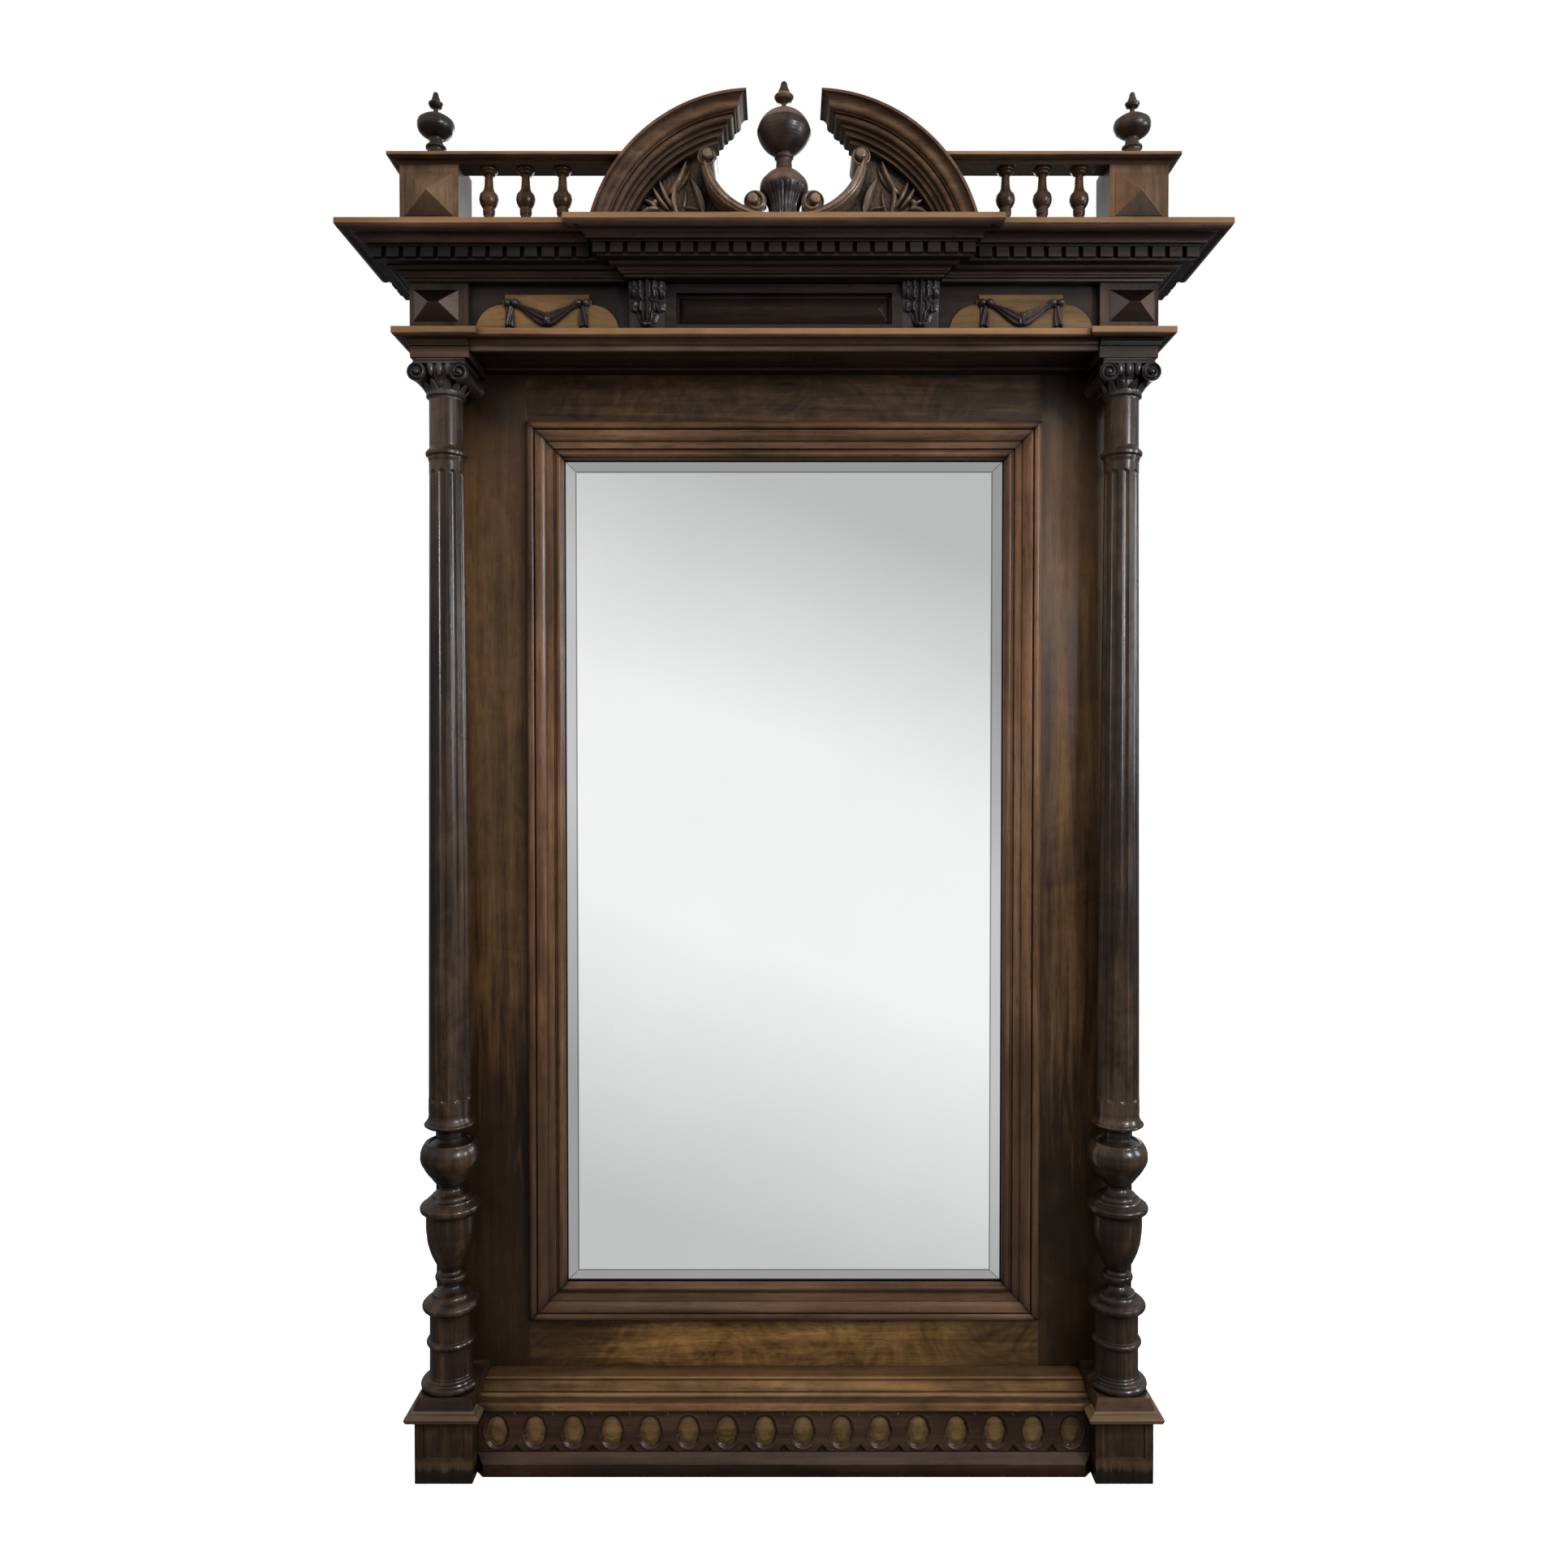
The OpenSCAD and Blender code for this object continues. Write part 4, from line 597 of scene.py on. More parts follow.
class Carving:
    """Grows one mesh from points in millimetres: across, depth in front of the wall, up."""

    def __init__(self):
        self.points = []
        self.faces = []
        self.slots = []

    def add(self, points, faces, slots=None):
        first = len(self.points)
        self.points.extend(map(tuple, points))
        self.faces.extend(tuple(first + i for i in face) for face in faces)
        self.slots.extend(slots if slots is not None else [0] * len(faces))

    def skin(self, rows):
        """Closed skin over rings of points, one ring after the other."""
        rows = np.asarray(rows)
        rings, count = rows.shape[:2]
        faces = []
        for i in range(rings - 1):
            for j in range(count):
                k = (j + 1) % count
                faces.append((i * count + j, i * count + k, (i + 1) * count + k, (i + 1) * count + j))
        faces.append(tuple(range(count))[::-1])
        faces.append(tuple((rings - 1) * count + j for j in range(count)))
        self.add(rows.reshape(-1, 3), faces)

    def sweep(self, path, section, scale):
        """Section (across the path, depth) carried along a path in the plane of the front."""
        path = np.asarray(path, float)
        section = np.asarray(section, float)
        way = np.gradient(path, axis=0)
        way /= np.linalg.norm(way, axis=1)[:, None]
        base = section[:, 1].min()
        rows = np.empty((len(path), len(section), 3))
        for i, (spot, along, size) in enumerate(zip(path, way, scale)):
            rows[i, :, 0] = spot[0] - along[1] * section[:, 0] * size
            rows[i, :, 2] = spot[1] + along[0] * section[:, 0] * size
            rows[i, :, 1] = base + (section[:, 1] - base) * min(1.0, 0.4 + 0.6 * size)
        self.skin(rows)

    def scroll(self, x, z, radius, knob, back, front, way, dome, waist=0.0, turns=1.25):
        """Rolled volute on a bolster: spiral face, rim, waisted roll, plain back."""
        core = 0.02
        turn = circle(64)
        pitch = (radius - knob) / turns
        rows = []
        for r in np.linspace(core, radius, 22):
            if r < knob:
                depth = front + dome * math.sqrt(max(0.0, 1.0 - (r / knob) ** 2)) + 0 * turn
            else:
                phase = (r - knob) / pitch - way * turn / (2 * math.pi)
                ridge = np.cos(2 * math.pi * (phase - 0.5))
                rim = 1.0 - smooth(np.float64(r), radius - 1.6, radius)
                depth = front - 2.3 + 2.2 * ridge * rim - 0.3 * (1 - rim)
            rows.append((r + 0 * turn, depth))
        for share in np.linspace(0.03, 1.0, 16):
            squeeze = waist * math.sin(math.pi * min(1.0, share)) ** 0.7
            depth = front - 2.4 - share * (front - 2.4 - back)
            rows.append((radius - squeeze + 0 * turn, depth + 0 * turn))
        rows.append((core + 0 * turn, back + 0 * turn))
        skin = np.empty((len(rows), len(turn), 3))
        for i, (r, depth) in enumerate(rows):
            skin[i, :, 0] = x + r * np.cos(turn)
            skin[i, :, 2] = z + r * np.sin(turn)
            skin[i, :, 1] = depth
        self.skin(skin)

    def turned(self, x, depth, heights, radius_at, count):
        """Upright turned form whose radius may vary round it."""
        turn = circle(count)
        self.skin([level_ring(x, depth, z, radius_at(z, turn), turn) for z in heights])

    def relief(self, inside, height, low, high, step, back, paint=None):
        """Carved panel: a height field wherever inside() is negative, closed behind.

        The rim's points are moved onto the outline in a few small steps.
        """
        passes, probe, longest = 3, 0.05, 0.6 * step
        X, Z = np.meshgrid(np.arange(low[0], high[0] + step, step),
                           np.arange(low[1], high[1] + step, step), indexing="ij")
        kept = inside(X[:-1, :-1] + step / 2, Z[:-1, :-1] + step / 2) < 0
        around = np.zeros(X.shape, int)
        for i in (0, 1):
            for j in (0, 1):
                around[i:i + kept.shape[0], j:j + kept.shape[1]] += kept
        rim = (around > 0) & (around < 4)
        for _ in range(passes):
            x, z = X[rim], Z[rim]
            gap = inside(x, z)
            slope_x = (inside(x + probe, z) - gap) / probe
            slope_z = (inside(x, z + probe) - gap) / probe
            steep = np.maximum(slope_x ** 2 + slope_z ** 2, 0.25)
            X[rim] -= np.clip(gap * slope_x / steep, -longest, longest)
            Z[rim] -= np.clip(gap * slope_z / steep, -longest, longest)
        depth = height(X, Z)
        number = -np.ones(X.shape, int)
        used = around > 0
        number[used] = np.arange(used.sum())
        total = int(used.sum())
        front = np.stack([X[used], depth[used], Z[used]], axis=1)
        rear = front.copy()
        rear[:, 1] = back
        wide = np.zeros((kept.shape[0] + 2, kept.shape[1] + 2), bool)
        wide[1:-1, 1:-1] = kept
        colour = np.zeros(kept.shape, int)
        if paint:
            colour = paint(X[:-1, :-1] + step / 2, Z[:-1, :-1] + step / 2)
        faces, slots = [], []
        for i, j in zip(*np.nonzero(kept)):
            a, b, c, d = number[i, j], number[i + 1, j], number[i + 1, j + 1], number[i, j + 1]
            faces += [(a, b, c, d), (a + total, d + total, c + total, b + total)]
            slots += [int(colour[i, j]), 0]
            for open_side, p, q in ((wide[i + 1, j], a, b), (wide[i + 2, j + 1], b, c),
                                    (wide[i + 1, j + 2], c, d), (wide[i, j + 1], d, a)):
                if not open_side:
                    faces.append((q, p, p + total, q + total))
                    slots.append(0)
        self.add(np.concatenate([front, rear]), faces, slots)

    def piece(self, name, materials, side=1, replaces=None, crease=42):
        """Makes the object, mirrored to the left for side -1."""
        mesh = bpy.data.meshes.new(name)
        points = [at_wall(side * x, depth, z) for x, depth, z in self.points]
        mesh.from_pydata(points, [], self.faces)
        for material in materials:
            mesh.materials.append(material)
        mesh.polygons.foreach_set("material_index", self.slots)
        shape = bmesh.new()
        shape.from_mesh(mesh)
        bmesh.ops.recalc_face_normals(shape, faces=shape.faces)
        shape.to_mesh(mesh)
        shape.free()
        mesh.shade_smooth()
        mesh.set_sharp_from_angle(angle=math.radians(crease))
        thing = new_object(name, mesh)
        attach(thing, "root")
        if replaces:
            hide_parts(replaces)


# ---- Pediment carving ----

SCROLL_X, SCROLL_Z, SCROLL_RADIUS = 28.9, CORNICE_TOP + 99.6, 83.9
ARCH_X, ARCH_DROP, ARCH_RADIUS = 42, 58.2, 192.6
# Volutes at the ends of the C-scroll: across, up, radius, way round, shift of the eye.
VOLUTES = (
    (109.0, CORNICE_TOP + 94.8, 13.5, 1, (-0.5, 2.0)),
    (41.0, CORNICE_TOP + 31.5, 16.0, -1, (3.4, 2.6)),
)
# Leaves: base and tip (across and above the cornice), width, bend, rise, veins.
LEAVES = (
    ((168, 56.8), (141, 108.8), 7.5, 5.0, 12, 1), ((161, 59.8), (135, 99.8), 4.2, 4.0, 6, 1),
    ((160, 37.8), (182, 82.8), 5.6, -2.5, 10, 1), ((166, 35.8), (192, 73.8), 5.0, -3.0, 10, 1),
    ((153, 27.8), (155, 72.8), 6.4, -6.0, 11, 1), ((149, 31.8), (143, 67.8), 3.6, 2.5, 6, 1),
    ((116, 29.8), (136, 81.8), 9.0, 4.0, 10, 2), ((122, 36.8), (149, 39.8), 3.2, 1.0, 7, 1),
    ((182, 36.8), (208, 51.8), 4.6, 2.5, 9, 1), ((180, 37.8), (210, 27.8), 5.2, 4.5, 9, 1),
    ((186, 23.8), (222, 11.8), 6.0, 2.0, 8, 1), ((150, 5.8), (160, 35.8), 7.0, 0.0, 9, 1),
    ((102, 9.8), (84, 35.8), 5.0, -4.0, 9, 1), ((130, 9.8), (102, 25.8), 7.0, 3.0, 8, 2),
)
LEAF_GROOVE, LEAF_CURL = 1.3, 2.0
# Round buds between the leaves: across, above the cornice, radius.
BUDS = ((187, 47.8, 5.0), (87, 31.8, 5.0))


def leaf(X, Z, base, tip, width, bend, rise, veins):
    """Height of one pointed leaf over the ground, zero outside it."""
    run_x, run_z = tip[0] - base[0], tip[1] - base[1]
    length = math.hypot(run_x, run_z)
    u = ((X - base[0]) * run_x + (Z - base[1]) * run_z) / length ** 2
    v = ((Z - base[1]) * run_x - (X - base[0]) * run_z) / length - bend * 4 * u * (1 - u)
    along = np.clip(u, 0.001, 0.999)
    half = width * 2.6 * along ** 0.6 * (1 - along) ** 0.8 + 0.01
    t = np.clip(np.abs(v) / half, 0.0, 1.0)
    body = np.sqrt(1 - t ** 2)
    tall = rise * (0.55 + 0.45 * np.sin(math.pi * along)) + LEAF_CURL * smooth(along, 0.6, 0.95)
    high = tall * body - LEAF_GROOVE * bump_at(v, 0.0, 0.9) * smooth(body, 0.2, 0.7)
    high -= LEAF_GROOVE * 0.45 * (1 - np.cos(t * math.pi * 2 * veins)) * body
    return np.where((u > 0) & (u < 1) & (t < 1), np.maximum(high, 0.4), 0.0)


def spandrel(side, name):
    """Leaves on a tooled ground under the arch, and the C-scroll with its volutes."""
    back = depth_of(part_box(name)[1][1])
    ground = back + 14.0

    def inside(X, Z):
        gaps = (np.hypot(X - ARCH_X, Z - CORNICE_TOP + ARCH_DROP) - ARCH_RADIUS, 55 - X,
                CORNICE_TOP + 0.3 - Z, SCROLL_RADIUS - np.hypot(X - SCROLL_X, Z - SCROLL_Z))
        foot = np.maximum.reduce((17 - X, X - 58, Z - CORNICE_TOP - 32, CORNICE_TOP + 0.3 - Z))
        return np.minimum(np.maximum.reduce(gaps), foot)

    def height(X, Z):
        top, up = np.zeros(X.shape), Z - CORNICE_TOP
        for base, tip, width, bend, rise, veins in LEAVES:
            top = np.maximum(top, leaf(X, up, base, tip, 0.78 * width, bend, 1.15 * rise, veins))
        for x, z, r in BUDS:
            top = np.maximum(top, 9.0 * np.sqrt(np.clip(1 - ((X - x) ** 2 + (up - z) ** 2) / r ** 2, 0, 1)))
        tooled = 0.25 * np.sin(X * 0.9 + 1.7 * np.sin(Z * 0.23)) + 0.2 * np.sin(Z * 0.8 + X * 0.35)
        return ground + np.maximum(top, 0.7 + tooled) - 10.0 * smooth(-X, -55.0, -53.0)

    def paint(X, Z):
        return (height(X, Z) < ground + 1.6).astype(int)

    carving = Carving()
    carving.relief(inside, height, (15, CORNICE_TOP), (236, CORNICE_TOP + 140), 1.0, back, paint)
    half, count = 7.0, 60
    turn = np.radians(np.linspace(0, -86, count))
    path = np.stack([SCROLL_X + SCROLL_RADIUS * np.cos(turn), SCROLL_Z + SCROLL_RADIUS * np.sin(turn)],
                    axis=1)
    across = np.linspace(-half, half, 27)
    front = back + 59.0 - 5.0 * (np.abs(across) / half) ** 2.2 - 1.8 * bump_at(np.abs(across), 3.4, 0.7)
    section = [(-half, back + 15.0)] + list(zip(across, front)) + [(half, back + 15.0)]
    swell = 0.8 + 0.2 * np.sin(np.linspace(0, math.pi, count))
    carving.sweep(path, section, swell)
    for x, z, radius, way, eye in VOLUTES:
        carving.scroll(x, z, radius, knob=1.5, back=back + 5.0, front=back + 56.0, way=way, dome=0.5,
                       turns=1.4)
        carving.scroll(x + eye[0], z + eye[1], 8.0, knob=6.9, back=back + 45.0, front=back + 60.0,
                       way=way, dome=1.8)
    carving.piece(name + "_carving", [carved_light, carved_ground], side, replaces=name)


# ---- Frieze carving ----

# The hanging cloth at distances from its middle: its upper and lower edge above the frieze's foot.
SWAG_ACROSS = (0, 6, 12, 18, 25, 35, 47)
SWAG_TOP = (29, 32, 34.6, 36.4, 38.4, 41.6, 46)
SWAG_LOW = (9.5, 9.8, 12.5, 17.0, 23, 32, 39.5)
SWAG_X = middle_of("swag_right")[0]
BRACKET_X = middle_of("bracket_right")[0]


def swag(side, name):
    """Pleated cloth hung from two pairs of knobs, with a knot in the middle and hanging tails."""
    face = depth_of(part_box("frieze_plaques")[0][1])

    def cloth(X, Z):
        """Distance from the middle, and the place between the edges: -1 below, 1 above."""
        u = np.abs(X - SWAG_X)
        top = np.interp(u, SWAG_ACROSS, SWAG_TOP)
        low = np.interp(u, SWAG_ACROSS, SWAG_LOW)
        return u, (2 * (Z - FRIEZE_FOOT) - top - low) / (top - low)

    def parts(X, Z):
        """Gaps to the arms, the tails, the knobs and the knot, below zero inside each."""
        u, t = cloth(X, Z)
        up = Z - FRIEZE_FOOT
        arms = np.maximum(np.abs(t) * 6 - 6, u - 47)
        hem = FRIEZE_FOOT + 9.0 + 1.6 * np.sin((u - 53) * 0.5)
        flare = 0.05 * (FRIEZE_FOOT + 33 - Z)
        tails = np.maximum.reduce([np.abs(u - 54.5) - 6.0 - flare, hem - Z, up - 40])
        knobs = np.minimum(np.hypot(u - 46.9, up - 44), np.hypot(u - 58, up - 44)) - 6.2
        knot = np.hypot((X - SWAG_X) / 0.62, (up - 20) / 1.15) - 9.6
        return arms, tails, knobs, knot

    def inside(X, Z):
        return np.minimum.reduce(parts(X, Z))

    def height(X, Z):
        u, t = cloth(X, Z)
        up = Z - FRIEZE_FOOT
        arms, tails, knobs, knot = parts(X, Z)
        ripple = 1.8 * np.cos(t * math.pi * 2.8 + 0.6) * (1 - 0.5 * np.clip(u / 46.0, 0, 1))
        pleats = 6.4 * np.sqrt(np.clip(1 - t * t, 0, 1)) + ripple
        high = np.where(arms < 0.3, np.maximum(pleats, 1.0), 0.6)
        fold = 3.6 + 1.9 * np.cos((u - 53.2) * 0.8 + 0.16 * up)
        high = np.maximum(high, np.where(tails < 0.2, fold * smooth(-tails, -0.4, 1.6) + 0.6, 0.0))
        ball = np.sqrt(np.clip(-knobs / 5.6 * (2 + knobs / 5.6), 0, 1))
        high = np.maximum(high, np.where(knobs < 0.2, 9.5 * ball, 0.0))
        tie = np.clip(-knot / 9.2, 0, 1)
        wrap = 10.5 * tie ** 0.3 + 1.3 * np.cos((X - SWAG_X) * 1.1 + up * 0.25)
        return face + np.maximum(high, np.where(knot < 0, wrap, 0.0))

    carving = Carving()
    carving.relief(inside, height, (SWAG_X - 66, FRIEZE_FOOT + 2), (SWAG_X + 66, FRIEZE_FOOT + 52), 0.8,
                   face - 0.5)
    carving.piece(name + "_carving", [swag_wood], side, replaces=name)


def bracket(side, name):
    """Acanthus leaf that rolls forward over a block, in three tiers of lobes."""
    half_width, half_height = 26.9, 35.2
    back = depth_of(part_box(name)[1][1])

    def inside(X, Z):
        return np.maximum(np.abs(X - BRACKET_X) - half_width,
                          np.abs(Z - FRIEZE_FOOT - half_height) - half_height)

    def height(X, Z):
        u, w = np.abs(X - BRACKET_X), Z - FRIEZE_FOOT
        block = back + 5 + 3.5 * smooth(w, 0, 5) + 2.5 * smooth(w, 26, 48) + 8 * smooth(w, 46, 62)
        wide = 25.5 - 10 * bump_at(w, 45, 2.6) - 9 * bump_at(w, 26.5, 3.0)
        wide = np.where(w < 25, np.minimum(wide, 6.5 + 9.5 * smooth(w, 4, 24)), wide)
        wide = wide - 4.0 * bump_at(w, 60, 1.8)
        share = np.clip(u / np.maximum(wide, 1.0), 0, 1)
        spine = back + 13 + 8.0 * bump_at(w, 8.5, 5.0) + 2.0 * smooth(w, 18, 36) + 7.0 * smooth(w, 38, 62)
        ribs = 2.0 * np.cos(share * math.pi * 5.0) + 2.4 * bump_at(u, 0.0, 1.2)
        leafy = spine - 4.0 * share ** 2 + ribs * smooth(1 - share, 0.02, 0.25) * smooth(w, 10, 18)
        leafy -= 5.5 * np.exp(-((u - 17) ** 2 + (w - 45.5) ** 2) / 7.0)
        leafy -= 5.0 * np.exp(-((u - 12.5) ** 2 + (w - 27.5) ** 2) / 6.0)
        leafy += 2.6 * np.exp(-((u - 20) ** 2 / 14 + (w - 50) ** 2 / 20)) * np.cos((u - 20) * 1.3)
        leafy += 2.4 * np.exp(-((u - 16) ** 2 / 16 + (w - 34) ** 2 / 20)) * np.cos((u - 16) * 1.2)
        leafy += 3.0 * np.exp(-((u - 4.2) ** 2 / 6 + (w - 7.5) ** 2 / 14))
        leafy = np.where(w < 2.5, block, leafy)
        return np.where(share < 0.999, np.maximum(leafy, block), block)

    carving = Carving()
    carving.relief(inside, height, (BRACKET_X - 27.4, FRIEZE_FOOT), (BRACKET_X + 27.4, FRIEZE_FOOT + 70.6),
                   0.8, back)
    carving.piece(name + "_carving", [carved_wood], side, replaces=name, crease=60)


# ---- Skirting carving ----

ROUNDELS = 16


def roundels():
    """Row of sunk upright ovals with a lip, and the board notched between their ends."""
    low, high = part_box("roundel_board")
    half, foot, top = high[0] / MM, low[2] / MM, high[2] / MM
    front, back = depth_of(low[1]), depth_of(high[1])
    pitch = 2 * half / ROUNDELS

    def oval(X, Z):
        u = np.mod(X + half, pitch) - pitch / 2
        w = np.abs(Z - foot - 30)
        return np.minimum(np.hypot(u, w) - 19.2, np.hypot(u, w - 9) - 16.5)

    def inside(X, Z):
        return np.maximum(np.abs(X) - half + 0.05, np.abs(Z - (foot + top) / 2) - (top - foot) / 2 + 0.05)

    def height(X, Z):
        gap = oval(X, Z)
        sunk = 4.2 * smooth(-gap, 0.2, 3.0) - 2.2 * smooth(-gap, 4.0, 12.0)
        lip = 0.8 * bump_at(gap, 1.3, 1.0)
        u = np.abs(np.mod(X + half + pitch / 2, pitch) - pitch / 2)
        between = np.abs(X) < half - pitch * 0.7
        upper = np.clip((8.5 - u) * 1.35 - (top - Z), 0, 6) * between
        lower = np.clip((8.5 - u) * 1.35 - (Z - foot), 0, 6) * between
        return front - sunk + lip - 0.6 * np.maximum(upper, lower)

    def paint(X, Z):
        return (oval(X, Z) < -4.0).astype(int)

    carving = Carving()
    carving.relief(inside, height, (-half, foot), (half, top), 1.25, back, paint)
    carving.piece("roundel_carving", [roundel_wood, roundel_field], replaces="roundel_board",
                  crease=50)


# ---- Capitals ----

CAPITAL_X, CAPITAL_DEPTH = middle_of("capital_right")
# Feet of the two plates of the abacus above the foot of the capital, and half their widths.
LOWER_PLATE, UPPER_PLATE = 45.2, 52.0
LOWER_HALF, UPPER_HALF = 38.5, 34.0
BELL = ((24.9, 0), (25.6, 3), (29.0, 5), (28.5, 12), (25.5, 14), (28.0, 24), (34.0, 36), (35.0, 48))


def bell(carving, foot):
    """Core of the capital, reeded above a ring of small leaves."""

    def radius(z, turn):
        w = z - foot
        reeds = 1.0 * np.abs(np.cos(turn * 12)) * smooth(np.float64(w), 16, 22)
        leaves = 1.6 * np.abs(np.cos(turn * 4)) ** 0.7 * bump_at(w, 17, 5.0)
        return radius_on(BELL, w) + reeds + leaves

    heights = foot + np.concatenate([np.linspace(0, 14, 15), np.linspace(15, LOWER_PLATE, 30)])
    carving.turned(CAPITAL_X, CAPITAL_DEPTH, heights, radius, 144)


def abacus(carving, foot, top):
    """Two square plates, the lower one with a groove round its edge."""
    tall = UPPER_PLATE - LOWER_PLATE
    grooved = ((0.0, -2.0), (0.5, 0.0), (2.4, 0.0), (3.2, -1.4), (tall - 2.2, -1.4), (tall - 1.6, 0.0),
               (tall, 0.0))
    plain = ((0, 0), (top - foot - UPPER_PLATE, 0))
    turn = circle(96)
    for half, start, steps in ((LOWER_HALF, LOWER_PLATE, grooved), (UPPER_HALF, UPPER_PLATE, plain)):
        edge = half / np.maximum(np.abs(np.cos(turn)), np.abs(np.sin(turn)))
        carving.skin([level_ring(CAPITAL_X, CAPITAL_DEPTH, foot + start + lift, edge + inset, turn)
                      for lift, inset in steps])


def eggs(carving, foot):
    """Three eggs between the volutes, in front and behind."""
    turn = circle(32)
    for facing in (-1, 1):
        for across in (-13.5, 0.0, 13.5):
            rows = []
            for w in np.linspace(28.5, 46.0, 15):
                r = 5.9 * math.sqrt(max(0.02, math.sin(math.pi * (w - 28.0) / 26.0)))
                rows.append(level_ring(CAPITAL_X + across, CAPITAL_DEPTH + facing * 33.5, foot + w, r, turn))
            carving.skin(rows)


def leaf_ring(t, bearing, way, foot):
    """Outline of a leaf at a share of its height: grooved outside, flat inside."""
    reach = 26.5 + 11.0 * t ** 1.6
    wide = 5.4 * math.sin(math.pi * min(0.98, 0.12 + 0.86 * t)) ** 0.7 + 0.4
    across = np.linspace(-1, 1, 9)
    outer = [(reach + 1.6 * (1 - a * a) - 0.9 * math.exp(-(a / 0.18) ** 2), a * wide) for a in across]
    inner = [(reach - 1.8, a * wide) for a in across[::-1]]
    ring = []
    for out, aside in outer + inner:
        x = out * math.cos(bearing) - aside * math.sin(bearing)
        y = out * math.sin(bearing) + aside * math.cos(bearing)
        ring.append((CAPITAL_X + way * x, CAPITAL_DEPTH + y, foot + 6.0 + 17.0 * t))
    return ring


def capital(side, name):
    """Bell with volutes, abacus, eggs and a ring of leaves that lean out."""
    low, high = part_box(name)
    foot, top = low[2] / MM, high[2] / MM
    carving = Carving()
    bell(carving, foot)
    for way in (-1, 1):
        carving.scroll(CAPITAL_X + way * 31.2, foot + 31.5, 14.0, knob=3.6, back=CAPITAL_DEPTH - 45.0,
                       front=CAPITAL_DEPTH + 46.0, way=-way, dome=2.2, waist=3.4, turns=1.6)
    abacus(carving, foot, top)
    eggs(carving, foot)
    for way in (-1, 1):
        for facing in (-1, 1):
            for bearing in (0.35, 0.8, 1.25):
                carving.skin([leaf_ring(t, facing * bearing, way, foot) for t in np.linspace(0, 1, 14)])
    carving.piece(name + "_carving", [carved_wood], side, replaces=name, crease=48)


# ---- Turned balusters and the leaves of the centre finial ----

BALUSTER = ((8.6, 0), (8.6, 14), (7.4, 16), (7.2, 22), (8.4, 24), (8.6, 30), (8.2, 32.5), (10.5, 35.5),
            (12.6, 39.5), (13.7, 44), (13.4, 48.5), (12.5, 50.0), (12.9, 51.2), (11.2, 53.5), (8.2, 57),
            (6.6, 62), (6.1, 68), (5.7, 76), (5.6, 79.5), (9.4, 81.0), (10.2, 82.5), (9.6, 83.8),
            (12.0, 84.8), (12.6, 86.2), (12.2, 88))
BALUSTER_PIN, BALUSTER_PIN_RADIUS = 6.0, 3.0
BALUSTER_GAP = 12.0
CUP = ((17.0, 2), (18.2, 5), (17.2, 9), (21.4, 31), (25.4, 43), (31.6, 52), (33.6, 56))


def finial_leaves():
    """Ring of five veined lobes round the cup of the centre finial."""
    axis, depth = middle_of("centre_finial")

    def radius(z, turn):
        w = z - CORNICE_TOP
        lobes = np.abs(np.cos(turn * 5)) ** 0.6
        veins = 0.7 * np.cos(turn * 30)
        out = 2.2 * bump_at(w, 46, 12) + 1.4 * bump_at(w, 18, 8)
        return radius_on(CUP, w) + 0.4 + lobes * out + veins * smooth(np.float64(w), 8, 16) * 0.8

    carving = Carving()
    carving.turned(axis, depth, CORNICE_TOP + np.linspace(2, 55, 40), radius, 240)
    carving.piece("finial_leaves", [carved_wood], crease=50)


def balusters():
    """Fuller balusters in the places of the plain ones, with a pin at both ends."""
    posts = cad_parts["balusters"]
    low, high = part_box("balusters")
    foot, head = low[2] / MM + BALUSTER_PIN, high[2] / MM - BALUSTER_PIN
    depth = middle_of("balusters")[1]
    across = np.sort([v.co.x for v in posts.data.vertices]) / MM
    places = np.split(across, np.nonzero(np.diff(across) > BALUSTER_GAP)[0] + 1)
    radii, steps = np.array(BALUSTER).T
    steps = foot + steps * (head - foot) / steps[-1]
    heights = np.concatenate([[foot - BALUSTER_PIN, foot - 0.02], np.linspace(foot, head, 100),
                              [head + 0.02, head + BALUSTER_PIN]])

    def radius(z, turn):
        between = foot <= z <= head
        return (np.interp(z, steps, radii) if between else BALUSTER_PIN_RADIUS) + 0 * turn

    carving = Carving()
    for group in places:
        carving.turned((group[0] + group[-1]) / 2, depth, heights, radius, 48)
    carving.piece("turned_balusters", [walnut_up], replaces="balusters", crease=50)


finial_leaves()
roundels()
balusters()
CARVED_PAIRS = {"spandrel": spandrel, "swag": swag, "bracket": bracket, "capital": capital}
for side, word in ((-1, "_left"), (1, "_right")):
    for stem, carve in CARVED_PAIRS.items():
        carve(side, stem + word)


# ---- Camera, floor and light ----

# Distance and height in millimetres, tilt in degrees, focal length and width of the photograph in pixels.
CAMERA_DISTANCE, CAMERA_HEIGHT, CAMERA_TILT = 1825, 1076.9, 1.1
FOCAL_PIXELS, PHOTO_PIXELS = 1400, 1932
SENSOR = 36.0

camera_data = bpy.data.cameras.new("camera")
camera_data.sensor_width = SENSOR
camera_data.lens = SENSOR * (FOCAL_PIXELS / PHOTO_PIXELS)
camera = new_object("camera", camera_data)
camera.location = at_wall(0, CAMERA_DISTANCE, CAMERA_HEIGHT)
camera.rotation_euler = (math.radians(90 - CAMERA_TILT), 0, 0)
bpy.context.scene.camera = camera


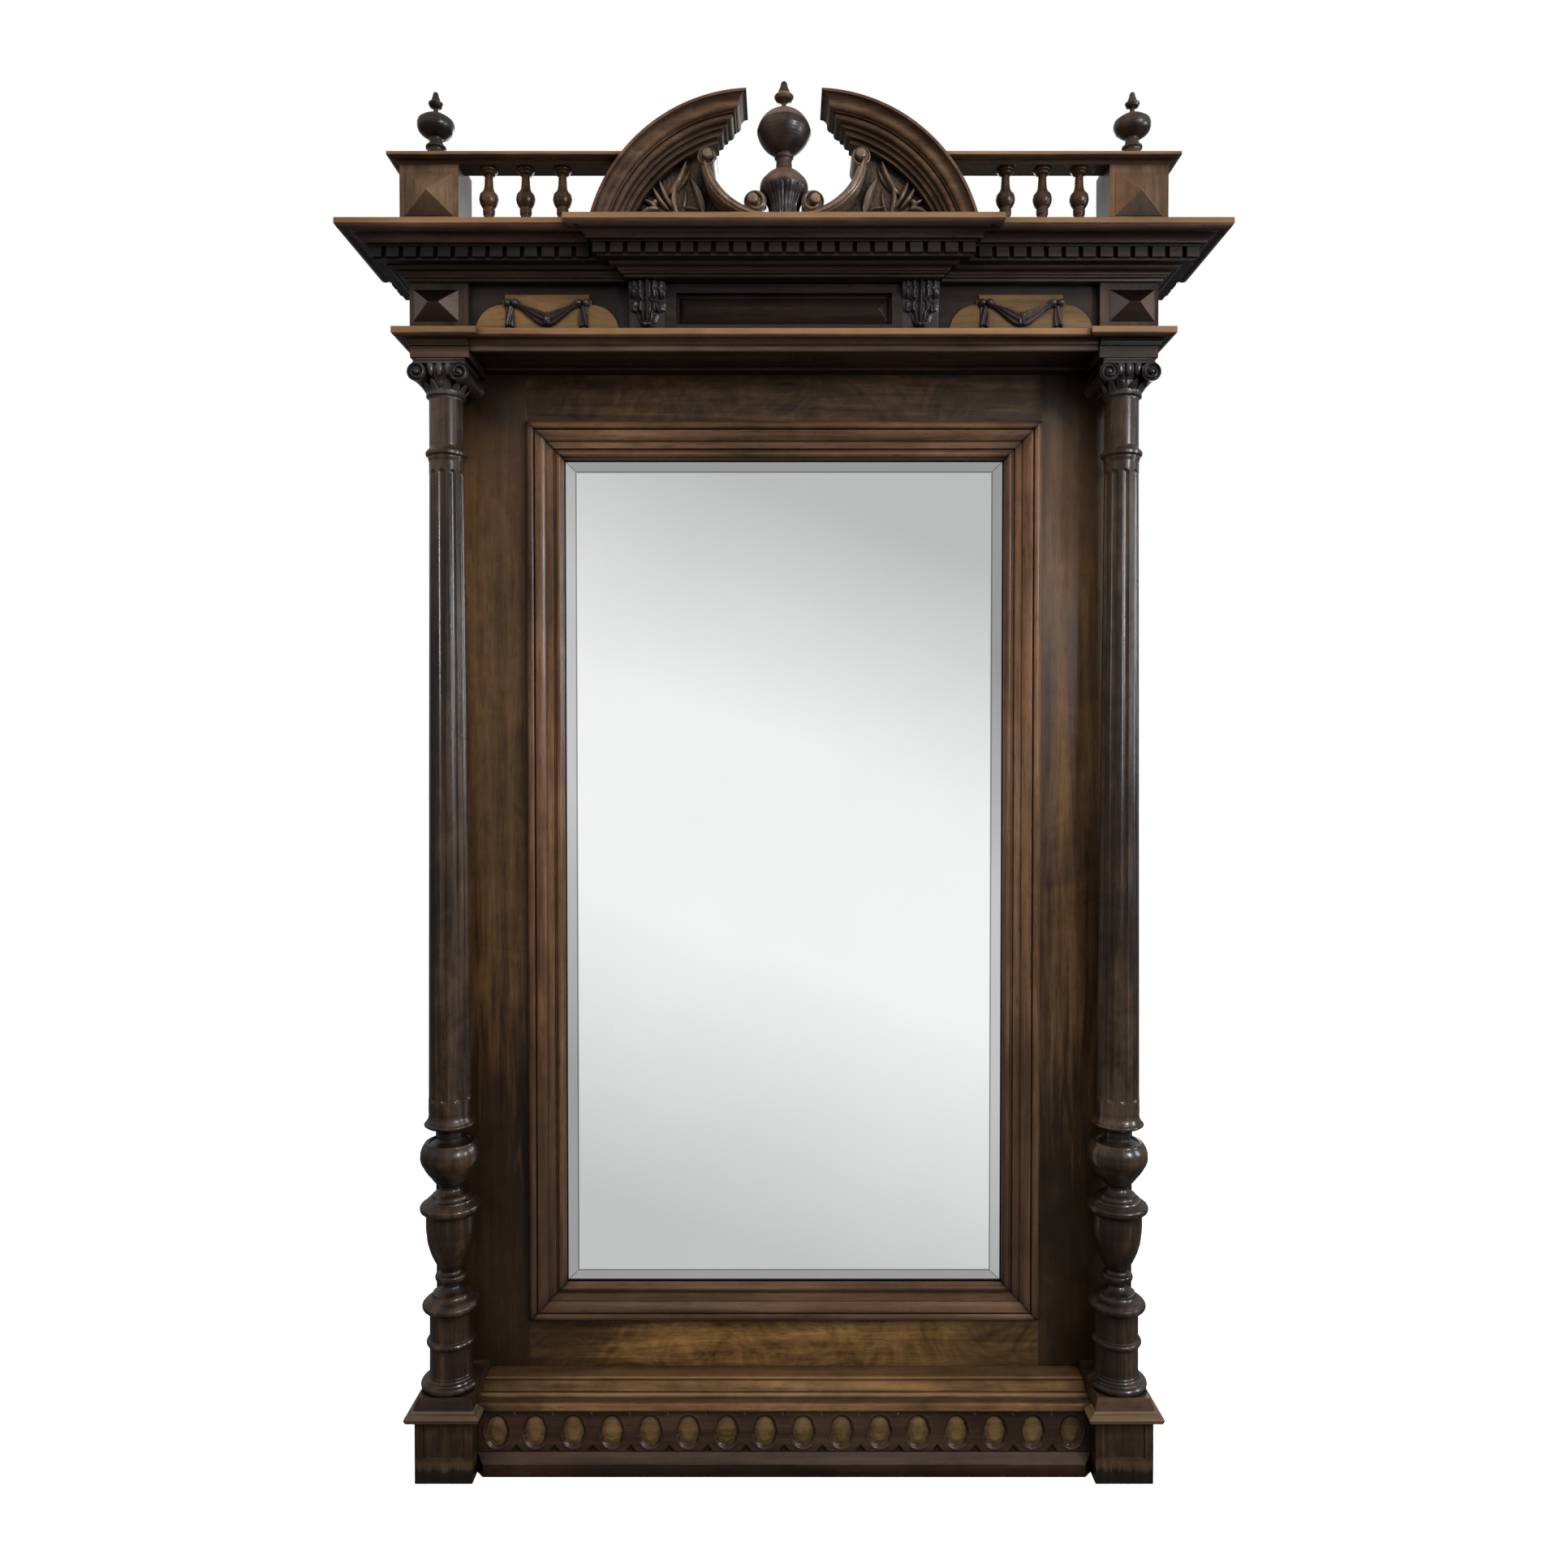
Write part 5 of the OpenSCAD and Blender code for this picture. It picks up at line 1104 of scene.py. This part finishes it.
def floor_piece():
    """Plain white floor that neither lights the wood nor shows in it."""
    mesh = bpy.data.meshes.new("floor")
    shape = bmesh.new()
    bmesh.ops.create_grid(shape, x_segments=2, y_segments=2, size=30.0)
    shape.to_mesh(mesh)
    shape.free()
    floor = new_object("floor", mesh)
    material = bpy.data.materials.new("floor_paint")
    t = Tree(material)
    paint = t.ramp(t.noise(t.object_place(), 2.0), [(0.3, grey(0.80)), (0.7, grey(0.82))])
    t.feed(t.shader, Base_Color=paint, Emission_Color=(1.0, 1.0, 1.0, 1.0), Emission_Strength=0.8,
           Roughness=0.9, Specular_IOR_Level=0.1)
    mesh.materials.append(material)
    floor.visible_glossy = False
    floor.visible_diffuse = False


def area_light(name, place, target, size, power, colour, mirrored):
    data = bpy.data.lights.new(name, "AREA")
    data.shape = "RECTANGLE"
    data.size, data.size_y = size
    data.energy = power
    data.color = colour
    light = new_object(name, data)
    light.location = place
    light.visible_glossy = mirrored
    light.rotation_euler = (Vector(target) - Vector(place)).to_track_quat("-Z", "Y").to_euler()


# Name, place, aim, width and height, power, colour, and whether the varnish shows it.
LIGHTS = (
    ("ceiling", (0.5, -2.1, 3.4), (0, 0, 1.2), (1.6, 0.8), 88, (1.0, 0.97, 0.93), False),
    ("lamp", (-2.6, -1.8, 2.0), (0, 0, 1.2), (0.8, 1.2), 22, (1.0, 0.95, 0.88), False),
    ("window", (2.1, -2.3, 1.9), (0, 0, 1.1), (0.35, 0.8), 46, (0.93, 0.96, 1.0), True),
    ("far_window", (3.0, -0.8, 1.5), (0, 0, 1.1), (0.35, 1.0), 26, (0.80, 0.90, 1.0), True),
    ("pane", (1.24, -2.5, 1.5), (0.5, 0, 1.2), (0.16, 0.5), 3.2, (0.80, 0.88, 1.0), True),
    ("back", (0.5, 3.0, 2.4), (0, 0, 1.1), (2.2, 1.4), 45, (1.0, 1.0, 1.0), True),
)


def studio_world():
    """White for the camera, dim for the wood, and a bright soft band in sharp reflections."""
    world = bpy.data.worlds.new("studio")
    t = Tree(world)
    bpy.context.scene.world = world
    way = t.parts(t.add("ShaderNodeTexCoord").outputs["Generated"])
    ahead = t.math("MAXIMUM", t.size(way["Y"]), 0.25)
    slope = t.math("DIVIDE", t.plus(way["Z"], t.times(way["X"], 0.35)), ahead)
    band = t.ramp(t.spread(slope, -1.0, 1.0),
                  [(0.28, grey(0.60)), (0.415, grey(1.0)), (0.51, grey(0.97)), (0.62, grey(0.56))])
    rise = t.spread(way["Z"], -1.0, 1.0)
    soft = t.ramp(rise, [(0.0, grey(0.10)), (0.4, grey(0.22)), (0.55, grey(0.40)), (1.0, (0.55, 0.55, 0.56))])
    room = t.ramp(rise, [(0.0, grey(0.04)), (0.42, (0.10, 0.10, 0.105)), (0.55, (0.26, 0.27, 0.29)),
                         (0.75, (0.42, 0.43, 0.45)), (1.0, (0.25, 0.25, 0.26))])
    rays = t.add("ShaderNodeLightPath").outputs
    light = t.mix(rays["Is Glossy Ray"], soft, room)
    light = t.mix(rays["Is Singular Ray"], light, band)
    light = t.mix(rays["Is Camera Ray"], light, grey(1.0))
    t.feed(t.tree.nodes["Background"], Color=light)


floor_piece()
for settings in LIGHTS:
    area_light(*settings)
studio_world()
bpy.context.scene.view_settings.view_transform = "Standard"
